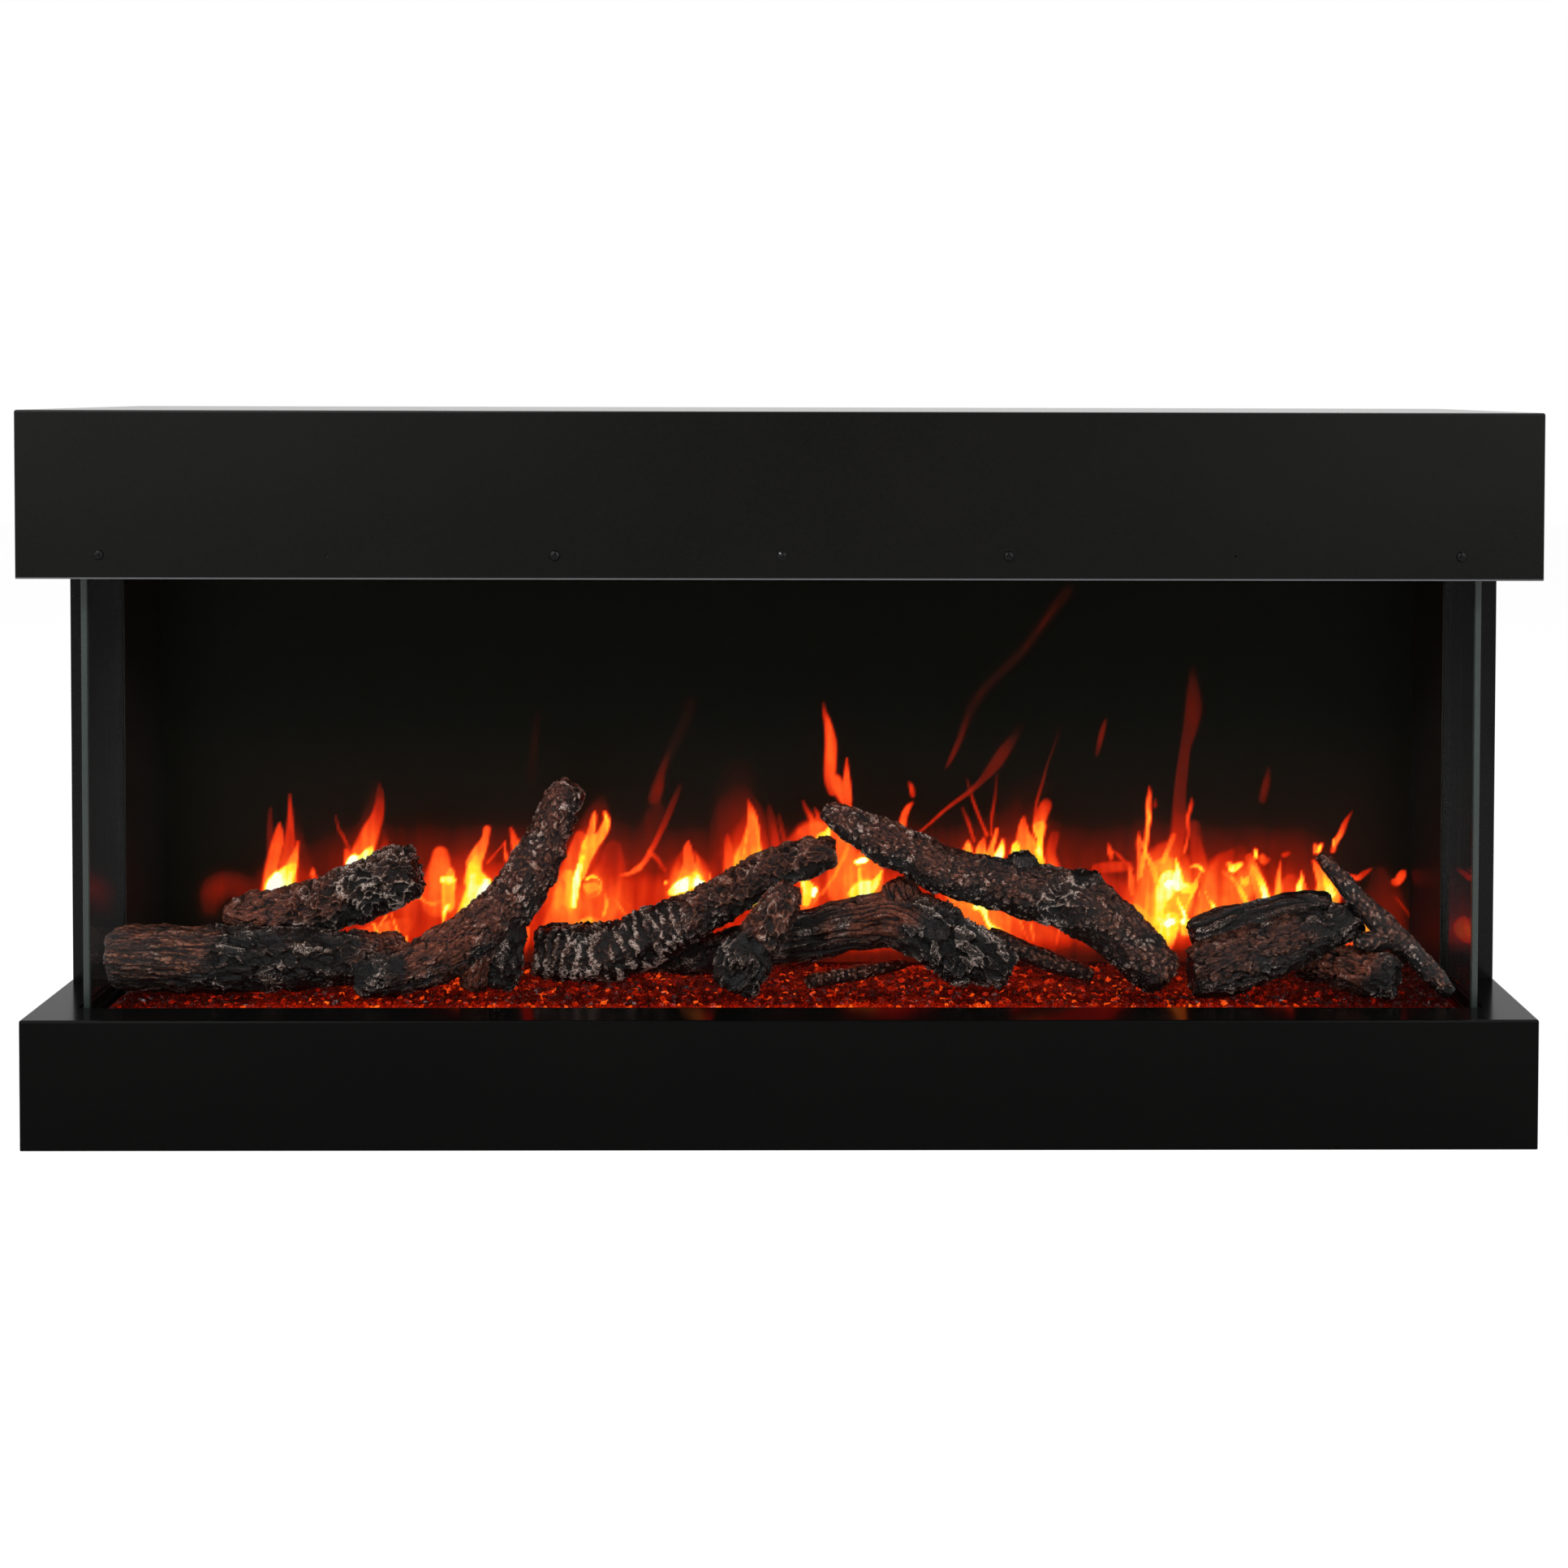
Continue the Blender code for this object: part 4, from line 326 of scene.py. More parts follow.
tree = HOOD_COAT.node_tree
shader = tree.nodes["Principled BSDF"]
coat_colour = shader.inputs["Base Color"].links[0].from_socket
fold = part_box("hood_shell")[0].z
height = add(tree, "SeparateXYZ", {}, {0: add(tree, "TexCoord").outputs["Object"]})
painted_fold_highlight = add(tree, "MapRange", {"From Min": fold + FOLD_LOW, "From Max": fold + FOLD_HIGH,
                                    "To Min": 1.0, "To Max": 0.0}, {"Value": height.outputs["Z"]})
fold_highlight_colour = add(tree, "MixRGB", {"Color2": tone("6c6c70")},
             {"Fac": painted_fold_highlight, "Color1": coat_colour})
link(tree, shader, {"Base Color": fold_highlight_colour})

SPECIAL = {"chamber_floor": FLOOR_ENAMEL, "base_shell": BASE_COAT, "hood_shell": HOOD_COAT,
           "left_recess_panel": RECESS_COAT, "right_recess_panel": RECESS_COAT}
SPECIAL.update({node: SCREW_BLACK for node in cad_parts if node.startswith("fascia_")})

for node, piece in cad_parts.items():
    slot = piece.material_slots[0].material.name
    if slot in SKINS:
        piece.material_slots[0].material = SPECIAL.get(node, SKINS[slot])
print("fold of the hood at", round(fold, 4), "and", len(SPECIAL), "nodes with a skin of their own")

# %% [markdown]
# ## Folds of the sheet metal
# A press brake leaves a small round on every fold, and that round is what catches the light along
# the edges of black sheet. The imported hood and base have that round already. The columns and the
# glass channels have sharp folds, so each is copied, its loose triangles are merged, and its long
# folds are bevelled with three segments.

# %% Round the folds
FOLD_RADII = {"left_column": 1.0 * MM, "right_column": 1.0 * MM,
              "lower_glass_channel": 0.5 * MM, "upper_glass_channel": 0.5 * MM}
LONG_FOLD = 60 * MM
SHARP_FOLD = math.radians(50)
FLAT = math.radians(1)
SAME_PLACE = 0.02 * MM


def folded(node, radius):
    """A copy of a packed sheet part whose long sharp folds are rounded."""
    shape = bmesh.new()
    shape.from_mesh(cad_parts[node].data)
    bmesh.ops.remove_doubles(shape, verts=shape.verts, dist=SAME_PLACE)
    bmesh.ops.dissolve_limit(shape, angle_limit=FLAT, verts=shape.verts, edges=shape.edges)
    folds = [edge for edge in shape.edges if len(edge.link_faces) == 2
             and edge.calc_length() > LONG_FOLD and edge.calc_face_angle_signed() > SHARP_FOLD]
    bmesh.ops.bevel(shape, geom=folds, offset=radius, affect="EDGES", segments=3, profile=0.5,
                    material=-1)
    piece = mesh_piece("folded_" + node, shape, SKINS["black_powder_coat"])
    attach(piece, "cabinet")
    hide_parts(node)
    print(piece.name, len(folds), "folds rounded")


for node, radius in FOLD_RADII.items():
    folded(node, radius)

# %% [markdown]
# ## Glass
# Three panes of 5 mm float glass close the opening. Seen face on a clear pane only adds a faint
# reflection, so its faces are nearly see-through, more mirror-like towards a grazing angle. Its
# ground edges scatter light and show the green of the iron in the glass, so they get a finish
# of their own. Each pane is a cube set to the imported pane's size with its edges bevelled.

# %% Glass finishes
MIRROR_FACE_ON, MIRROR_EDGE_ON = 0.0012, 0.9

pane_clear, tree, shader, where = new_finish("clear_float_glass", Roughness=0.02, Metallic=1.0)
# How much of a pane is mirror: almost nothing face on, and nearly all of it edge on.
edge_on = add(tree, "LayerWeight", {"Blend": 0.5})
steep = add(tree, "Math", {"operation": "POWER", 1: 5.0}, {0: edge_on.outputs["Facing"]})
sheen = add(tree, "MapRange", {"To Min": MIRROR_FACE_ON, "To Max": MIRROR_EDGE_ON},
            {"Value": steep})
smear = add(tree, "TexNoise", {"Scale": 14.0, "Detail": 4.0}, {"Vector": where})
tint = add(tree, "ValToRGB", {"stops": [(0.3, "dfe6e2"), (0.7, "e9efec")]}, {"Fac": smear})
link(tree, shader, {"Base Color": tint, "Alpha": sheen})

# Ground with a fine wheel: grey and dull, with the green of the glass behind it.
pane_edge = skin("ground_glass_edge", "222a27", "303a36", 0.6, 0.01, (0.2, 0.32))

# %% Panes
EDGE_GRIND = 0.4 * MM
THIN_AXIS = {"front_glass": 1, "left_glass": 0, "right_glass": 0}


def pane(node, thin_axis):
    """A pane of glass with ground edges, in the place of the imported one."""
    low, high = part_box(node)
    size = high - low
    shape = bmesh.new()
    place = Matrix.Translation((low + high) / 2) @ Matrix.Diagonal((*size, 1.0))
    bmesh.ops.create_cube(shape, size=1.0, matrix=place)
    bmesh.ops.bevel(shape, geom=shape.edges, offset=EDGE_GRIND, affect="EDGES", segments=1,
                    profile=0.5, material=-1)
    # The broad faces are clear, and so is a side pane's rear edge, which stands against its column.
    for face in shape.faces:
        clear = abs(face.normal[thin_axis]) > 0.99 or face.normal.y > 0.5
        face.material_index = 0 if clear else 1
    piece = mesh_piece(node.replace("glass", "pane"), shape, pane_clear, pane_edge)
    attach(piece, "cabinet")
    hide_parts(node)
    print(piece.name, [round(side, 4) for side in size])


for node, thin_axis in THIN_AXIS.items():
    pane(node, thin_axis)

# %% [markdown]
# ## Logs
# Real log sets are resin castings of charred wood, painted by hand: brown bark, black char, and
# dry-brushed silver ash on the high places. Each log here starts as tubes swept along its limbs,
# a circle extruded from station to station. A voxel remesh melts the tubes into one skin, and
# then every vertex is moved inwards by the bark that its zone asks for. The same numbers that
# carve the bark are kept as attributes, so the paint follows the carving.
#
# The rows are millimetres: left to right, front to back, height, and thickness of the limb.

# %% Limbs of the logs
LOG_ROWS = {
    "front_left_log": (
        ((-589, -81, 138, 46), (-580, -81, 139, 55), (-550, -81, 138, 57), (-494, -80, 137, 57),
         (-431, -74, 135, 53), (-378, -57, 133, 46), (-338, -43, 131, 39)),
    ),
    "raised_left_log": (
        ((-498, -41, 165, 28), (-470, -40, 167, 42), (-425, -39, 172, 48), (-381, -39, 187, 50),
         (-346, -39, 203, 51), (-327, -39, 209, 46)),
    ),
    "forked_trunk_log": (
        ((-372, -101, 124, 32), (-327, -96, 132, 42), (-286, -90, 150, 47), (-250, -85, 177, 49),
         (-223, -83, 212, 43), (-208, -82, 243, 37), (-194, -81, 275, 32), (-185, -81, 291, 28)),
        ((-242, -85, 168, 38), (-245, -84, 138, 32), (-249, -83, 113, 30)),
        ((-212, -82, 232, 36), (-192, -82, 236, 24)),
        ((-258, -90, 160, 34), (-267, -90, 136, 28), (-271, -90, 113, 25)),
    ),
    "leaning_stick": (
        ((181, -53, 155, 13), (226, -55, 132, 19), (274, -57, 117, 14)),
    ),
    "broken_fork_log": (
        ((-225, -18, 139, 26), (-190, -17, 139, 32), (-150, -16, 135, 35), (-112, -15, 129, 35),
         (-72, -17, 127, 36), (-20, -23, 138, 41), (24, -31, 148, 44), (68, -39, 160, 46),
         (103, -51, 166, 52), (134, -65, 154, 56), (150, -75, 133, 42), (145, -77, 117, 30)),
        ((138, -67, 154, 50), (169, -75, 140, 44), (198, -79, 125, 36)),
        ((108, -50, 174, 42), (98, -48, 200, 32)),
    ),
    "long_curved_log": (
        ((-224, -47, 134, 43), (-193, -45, 133, 49), (-156, -45, 136, 52), (-120, -47, 150, 49),
         (-84, -49, 168, 44), (-48, -51, 188, 39), (-12, -53, 210, 37), (24, -55, 223, 33),
         (45, -55, 226, 26)),
    ),
    "front_stub_log": (
        ((-45, -106, 118, 44), (-33, -104, 142, 47), (-24, -103, 157, 38), (-13, -101, 172, 36),
         (-3, -99, 190, 32), (6, -97, 206, 22)),
    ),
    "leaning_branch_log": (
        ((34, -75, 268, 17), (57, -76, 256, 29), (82, -77, 243, 37), (110, -78, 230, 40),
         (145, -79, 214, 42), (188, -80, 204, 46), (231, -81, 194, 50), (263, -82, 184, 56),
         (289, -83, 164, 50), (312, -85, 143, 48), (335, -86, 122, 42)),
        ((210, -80, 208, 34), (205, -80, 231, 24)),
        ((262, -82, 196, 42), (262, -82, 214, 34)),
    ),
    "thin_front_stick": (
        ((21, -81, 117, 13), (60, -51, 117, 14), (108, -16, 118, 9)),
    ),
    "right_small_log": (
        ((458, -45, 127, 30), (483, -63, 129, 37), (512, -93, 127, 41), (532, -107, 124, 38)),
    ),
    "right_chunk_log": (
        ((354, -94, 130, 46), (379, -92, 133, 52), (415, -88, 143, 50), (452, -80, 156, 45),
         (485, -72, 166, 36), (508, -64, 168, 30)),
        ((359, -70, 154, 34), (408, -64, 168, 32), (451, -60, 178, 29), (484, -60, 182, 24)),
    ),
    "right_twig": (
        ((471, -69, 227, 10), (488, -74, 208, 16), (508, -80, 185, 19), (529, -87, 163, 24),
         (551, -94, 143, 20), (568, -101, 125, 18), (578, -105, 114, 13)),
        ((532, -87, 157, 20), (511, -97, 156, 19), (497, -101, 156, 15)),
        ((570, -102, 121, 17), (580, -106, 112, 15)),
    ),
}
print(sum(len(limbs) for limbs in LOG_ROWS.values()), "limbs of", len(LOG_ROWS), "logs")

# %% Sweeping limbs and melting them together
STATION = 4 * MM
TUBE_SIDES = 28
END_TAPER = 0.2
TAPER_REACH = 4 * MM


def smooth_curve(points, counts):
    """Points on a smooth curve through the given ones, with a count of steps for each gap."""
    ends = np.vstack([2 * points[0] - points[1], points, 2 * points[-1] - points[-2]])
    found = []
    for before, start, stop, after, count in zip(ends, ends[1:], ends[2:], ends[3:], counts):
        for t in np.arange(count)[:, None] / count:
            found.append((0.5 * (2 * start + (stop - before) * t
                          + (2 * before - 5 * start + 4 * stop - after) * t ** 2
                          + (3 * start - before - 3 * stop + after) * t ** 3)).ravel())
    return np.array(found + [points[-1]])


def lengths_along(points):
    """How far along the line through the points each of them lies."""
    steps = np.linalg.norm(np.diff(points, axis=0), axis=1)
    return np.concatenate([[0], np.cumsum(steps)])


def stations(rows):
    """Close-set points with a thickness along a limb, a little thinner at its ends."""
    points = np.array(rows, float) * MM
    gaps = np.linalg.norm(np.diff(points[:, :3], axis=0), axis=1)
    path = smooth_curve(points, [max(2, int(gap / STATION)) for gap in gaps])
    lengths = lengths_along(path[:, :3])
    to_end = np.minimum(lengths, lengths[-1] - lengths)
    path[:, 3] *= 1 - END_TAPER * np.exp(-to_end / TAPER_REACH)
    return path


def ring_places(path):
    """A matrix for each station, scaled to its radius and turned along the limb without twist."""
    places, facing = [], None
    ways = [Vector(step).normalized() for step in np.gradient(path[:, :3], axis=0)]
    for row, way in zip(path, ways):
        if facing is None:
            facing = way.to_track_quat("Z", "Y")
        else:
            facing = old.rotation_difference(way) @ facing
        old = way
        radius = row[3] / 2
        places.append(Matrix.Translation(row[:3]) @ facing.to_matrix().to_4x4()
                      @ Matrix.Diagonal((radius, radius, radius, 1.0)))
    return places


def sweep(shape, places):
    """A closed tube: a circle extruded from one station to the next."""
    ring = bmesh.ops.create_circle(shape, cap_ends=True, segments=TUBE_SIDES, radius=1.0,
                                   matrix=places[0])
    edges = list({edge for vert in ring["verts"] for edge in vert.link_edges})
    for before, after in zip(places, places[1:]):
        grown = bmesh.ops.extrude_edge_only(shape, edges=edges)["geom"]
        verts = [part for part in grown if isinstance(part, bmesh.types.BMVert)]
        edges = [part for part in grown if isinstance(part, bmesh.types.BMEdge)]
        bmesh.ops.transform(shape, verts=verts, matrix=after @ before.inverted())
    bmesh.ops.edgeloop_fill(shape, edges=edges)


def melted(name, limbs, voxel):
    """The limbs of a log as one skin of even little squares."""
    shape = bmesh.new()
    for places in limbs:
        sweep(shape, places)
    bmesh.ops.recalc_face_normals(shape, faces=shape.faces)
    piece = mesh_piece(name, shape)
    melt = piece.modifiers.new("melt", "REMESH")
    melt.mode, melt.voxel_size = "VOXEL", voxel
    soften = piece.modifiers.new("soften", "SMOOTH")
    soften.iterations, soften.factor = 3, 0.5
    seen = piece.evaluated_get(bpy.context.evaluated_depsgraph_get())
    skin_mesh = bpy.data.meshes.new_from_object(seen)
    piece.modifiers.clear()
    piece.data = skin_mesh
    return piece


# %% [markdown]
# Bark runs along a limb, so the patterns need to know where a point lies on it: how far along,
# how far round, and how thick the limb is there. That place is found from the nearest station.

# %% Where each point lies on its limb
FAR = 1e9


def bark_places(points, limbs):
    """For each point: metres and share along its limb, its place across it, which, how near."""
    nearest = np.full(len(points), FAR)
    along, share = np.zeros(len(points)), np.zeros(len(points))
    across = np.zeros((len(points), 2))
    limb_of = np.zeros(len(points), int)
    for index, places in enumerate(limbs):
        frames = np.array([np.array(place) for place in places])
        centres, radii = frames[:, :3, 3], np.linalg.norm(frames[:, :3, 0], axis=1)
        lengths = lengths_along(centres)
        for number, (centre, radius) in enumerate(zip(centres, radii)):
            offset = points - centre
            reach = np.linalg.norm(offset, axis=1) - radius
            closer = reach < nearest
            nearest[closer] = reach[closer]
            local = offset[closer] @ (frames[number, :3, :3] / radius)
            along[closer] = lengths[number] + local[:, 2]
            share[closer] = lengths[number] / lengths[-1]
            across[closer] = local[:, :2]
            limb_of[closer] = index
    return along, share, across, limb_of, nearest


# %% [markdown]
# Each kind of bark is a height between nought in its grooves and one on its ridges, with a depth
# in millimetres. Plain noise looks like clouds, so it is shaped: cracks follow the lines where
# noise crosses nought, flakes are noise cut into terraces, and scales are the cells between
# scattered seeds. Bending the places first keeps any of them from looking like a pattern.

# %% Tools for carving bark
NOISE_SPREAD = 0.62


def waves(places, *sizes_mm):
    """Noise between nought and one whose lumps have these sizes along, across and up."""
    scaled = places / (np.array(sizes_mm) * MM)
    return np.clip([0.5 + NOISE_SPREAD * noise.noise(place) for place in scaled.tolist()], 0, 1)


def bent(places, size_mm, reach_mm):
    """The places pushed about by noise, so that what is drawn on them loses its regularity."""
    scaled = (places / (size_mm * MM)).tolist()
    return places + np.array([noise.noise_vector(place)[:] for place in scaled]) * reach_mm * MM


def rise(values, low, high):
    """A smooth step from nought at low to one at high."""
    t = np.clip((values - low) / (high - low), 0, 1)
    return t * t * (3 - 2 * t)


def cracks(places, width, *sizes_mm):
    """Nought along winding cracks and one away from them."""
    return rise(np.abs(waves(places, *sizes_mm) - 0.5), 0.0, width)


def crests(places, width, *sizes_mm):
    """One along thin winding crests and nought away from them."""
    return 1 - cracks(places, width, *sizes_mm)


def scales(places, *sizes_mm):
    """Distance from the border of each cell, and a random number for the cell."""
    scaled = places / (np.array(sizes_mm) * MM)
    border, number = [], []
    for place in scaled.tolist():
        gaps, seeds = noise.voronoi(place)
        border.append(gaps[1] - gaps[0])
        number.append(noise.cell(seeds[0] * 31.0))
    return np.array(border), np.abs(np.array(number)) % 1.0


def terraces(values, count):
    """Noise cut into flat steps with short slopes between them."""
    steps = values * count
    return (np.floor(steps) + rise(steps % 1.0, 0.55, 0.95)) / count


# %% [markdown]
# The kinds of bark add these up. Each takes the places q on the limb and gives the height and the
# depth of its relief. The bare numbers are shares of the height, and sizes in millimetres along,
# across and up.

# %% Kinds of bark
def grain_bark(q):
    """Bare wood: long fibres with a few long splits."""
    fibres = waves(bent(q, 30, 1.5), 26, 2.4, 2.4)
    splits = cracks(bent(q, 40, 2), 0.03, 150, 13, 13)
    return 0.48 * fibres + 0.28 * splits + 0.24 * waves(q, 5, 2.2, 2.2), 2.0


def plate_bark(q):
    """Small plates of bark at different heights, with winding crests over them."""
    border, number = scales(bent(q, 7, 4), 8, 6, 6)
    plates = rise(border, 0.02, 0.3) * (0.3 + 0.7 * number)
    winding = crests(bent(q + 3, 6, 2), 0.12, 9, 5, 5)
    return 0.55 * plates + 0.25 * winding + 0.2 * waves(q, 2.6, 2.2, 2.2), 3.8


def flake_bark(q):
    """Layers that have flaked off in steps, with crumbs and gaps between them."""
    layers = terraces(waves(bent(q, 8, 4), 12, 6, 6), 4)
    crumbs = waves(bent(q, 4, 1.5), 4, 2.4, 2.4)
    gaps = cracks(bent(q, 9, 3), 0.07, 14, 6, 6)
    return (0.5 * layers + 0.32 * crumbs) * (0.35 + 0.65 * gaps) + 0.18 * gaps, 4.4


def rib_bark(q):
    """Short ribs that run round the limb."""
    ribs = rise(waves(bent(q, 8, 3), 5.0, 16, 16), 0.35, 0.62)
    winding = crests(bent(q, 6, 2), 0.14, 6, 5, 5)
    return 0.42 * ribs + 0.28 * winding + 0.3 * waves(q + 5, 2.4, 2.6, 2.6), 3.4


def check_bark(q):
    """Burnt wood checked into little blocks."""
    border, number = scales(bent(q, 8, 2.6), 6.4, 6.0, 6.0)
    blocks = rise(border, 0.03, 0.24) * (0.45 + 0.55 * number)
    return 0.6 * blocks + 0.4 * waves(q, 3, 2.4, 2.4), 2.6


def char_bark(q):
    """Charred lumps with chips out of them."""
    lumps = waves(bent(q, 20, 6), 26, 13, 13)
    chips = cracks(bent(q, 12, 5), 0.09, 22, 10, 10)
    winding = crests(bent(q + 2, 9, 3), 0.1, 15, 8, 8)
    return 0.4 * lumps + 0.24 * chips + 0.2 * winding + 0.16 * waves(q, 3.4, 2.6, 2.6), 5.6


def knob_bark(q):
    """Rounded knobs with winding crests."""
    lumps = waves(bent(q, 14, 5), 13, 10, 10)
    winding = crests(bent(q + 7, 8, 3), 0.13, 9, 6, 6)
    return 0.42 * lumps + 0.33 * winding + 0.25 * waves(q, 2.8, 2.4, 2.4), 5.8


def fibre_bark(q):
    """Torn wood: deep grooves and fibres along the limb."""
    grooves = cracks(bent(q, 30, 4), 0.14, 75, 7, 7)
    fibres = waves(bent(q, 14, 2), 30, 2.8, 2.8)
    return 0.46 * grooves + 0.34 * fibres + 0.2 * waves(q, 5, 2.6, 2.6), 4.2


def shard_bark(q):
    """Coal broken into long flat shards."""
    border, number = scales(bent(q, 10, 3), 16, 8, 8)
    edges = 1 - rise(border, 0.0, 0.16)
    return 0.55 * number + 0.3 * edges + 0.15 * waves(q, 5, 3, 3), 9.0


def twig_bark(q):
    """Fine knots on a thin stick."""
    return 0.6 * waves(bent(q, 8, 1.5), 5, 2.6, 2.6) + 0.4 * waves(q + 1, 2.4, 6, 6), 1.8


# Each kind with its paint: how charred, how much ash with painted highlights, how red from red
# paint and painted red light, and how far the side that faces up is charred instead.
BARKS = {
    "grain": (grain_bark, 0.05, 0.05, 0.1, 0),
    "plates": (plate_bark, 0.05, 0.5, 0.6, 0),
    "flakes": (flake_bark, 0.05, 0.12, 0.9, 0),
    "smoked": (flake_bark, 0.45, 0.1, 0.4, 0),
    "ribs": (rib_bark, 0.35, 1.05, 0.2, 0.7),
    "checks": (check_bark, 0.25, 0.35, 0.4, 0.6),
    "char": (char_bark, 0.9, 0.3, 0.0, 0),
    "knobs": (knob_bark, 0.2, 0.25, 0.6, 0),
    "silver": (knob_bark, 0.5, 0.7, 0.15, 0),
    "scaly": (plate_bark, 0.3, 0.5, 0.8, 0),
    "fibres": (fibre_bark, 0.8, 0.3, 0.1, 0),
    "shards": (shard_bark, 0.95, 0.6, 0.0, 0),
    "planks": (fibre_bark, 0.1, 0.2, 1.0, 0),
    "twig": (twig_bark, 0.45, 0.2, 0.3, 0),
}
print(len(BARKS), "kinds of bark")

# %% [markdown]
# A log is seldom the same all over. Each has zones along its limbs, with the kind of bark, the
# limb it is on, and the share of the limb's length where it begins and ends. A zone that runs
# past an end starts a little before nought or stops a little after one.

# %% Zones of bark on each log
START, END = -0.2, 1.2
ZONES = {
    "front_left_log": (("grain", 0, START, 0.34), ("char", 0, 0.34, 0.86),
                       ("flakes", 0, 0.86, END)),
    "raised_left_log": (("flakes", 0, START, 0.3), ("knobs", 0, 0.3, 0.6),
                        ("silver", 0, 0.6, END)),
    "forked_trunk_log": (("char", 0, START, 0.14), ("flakes", 0, 0.14, 0.52),
                         ("scaly", 0, 0.52, END), ("char", 1, START, 0.5), ("char", 1, 0.5, END),
                         ("plates", 2, START, END), ("flakes", 3, START, END)),
    "leaning_stick": (("twig", 0, START, END),),
    "broken_fork_log": (("char", 0, START, 0.4), ("fibres", 0, 0.4, 0.67),
                        ("planks", 0, 0.67, 0.84), ("shards", 0, 0.84, END),
                        ("shards", 1, START, END), ("planks", 2, START, END)),
    "long_curved_log": (("ribs", 0, START, 0.52), ("knobs", 0, 0.52, END)),
    "front_stub_log": (("char", 0, START, 0.42), ("knobs", 0, 0.42, END)),
    "leaning_branch_log": (("scaly", 0, START, 0.3), ("checks", 0, 0.3, 0.62),
                           ("silver", 0, 0.62, 0.7), ("checks", 0, 0.7, END),
                           ("char", 1, START, END), ("char", 2, START, END)),
    "thin_front_stick": (("twig", 0, START, END),),
    "right_small_log": (("flakes", 0, START, 0.8), ("char", 0, 0.8, END)),
    "right_chunk_log": (("smoked", 0, START, 0.62), ("char", 0, 0.62, END),
                        ("fibres", 1, START, END)),
    "right_twig": (("twig", 0, START, END), ("twig", 1, START, END), ("char", 2, START, END)),
}
print(sum(len(zones) for zones in ZONES.values()), "zones of bark")

# %% [markdown]
# The carving below keeps four numbers on each vertex: its relief, how charred it is, how much ash
# it carries, and how red it is. The paint reads them. Brown bark is darker in the grooves, which is
# painted shade, char is nearly black and glossier, and ash is caught on ridges only, broken into
# specks of about a millimetre; these pale pinkish specks are partly dry-brushed ash and partly
# painted highlights, and the red is partly red paint and partly painted red light. The crackle of
# dried bark is drawn as blocks some 6 mm long and 3 mm wide.

# %% Paint of the logs
PAINTED = ("relief", "charred", "frosted", "rusty")


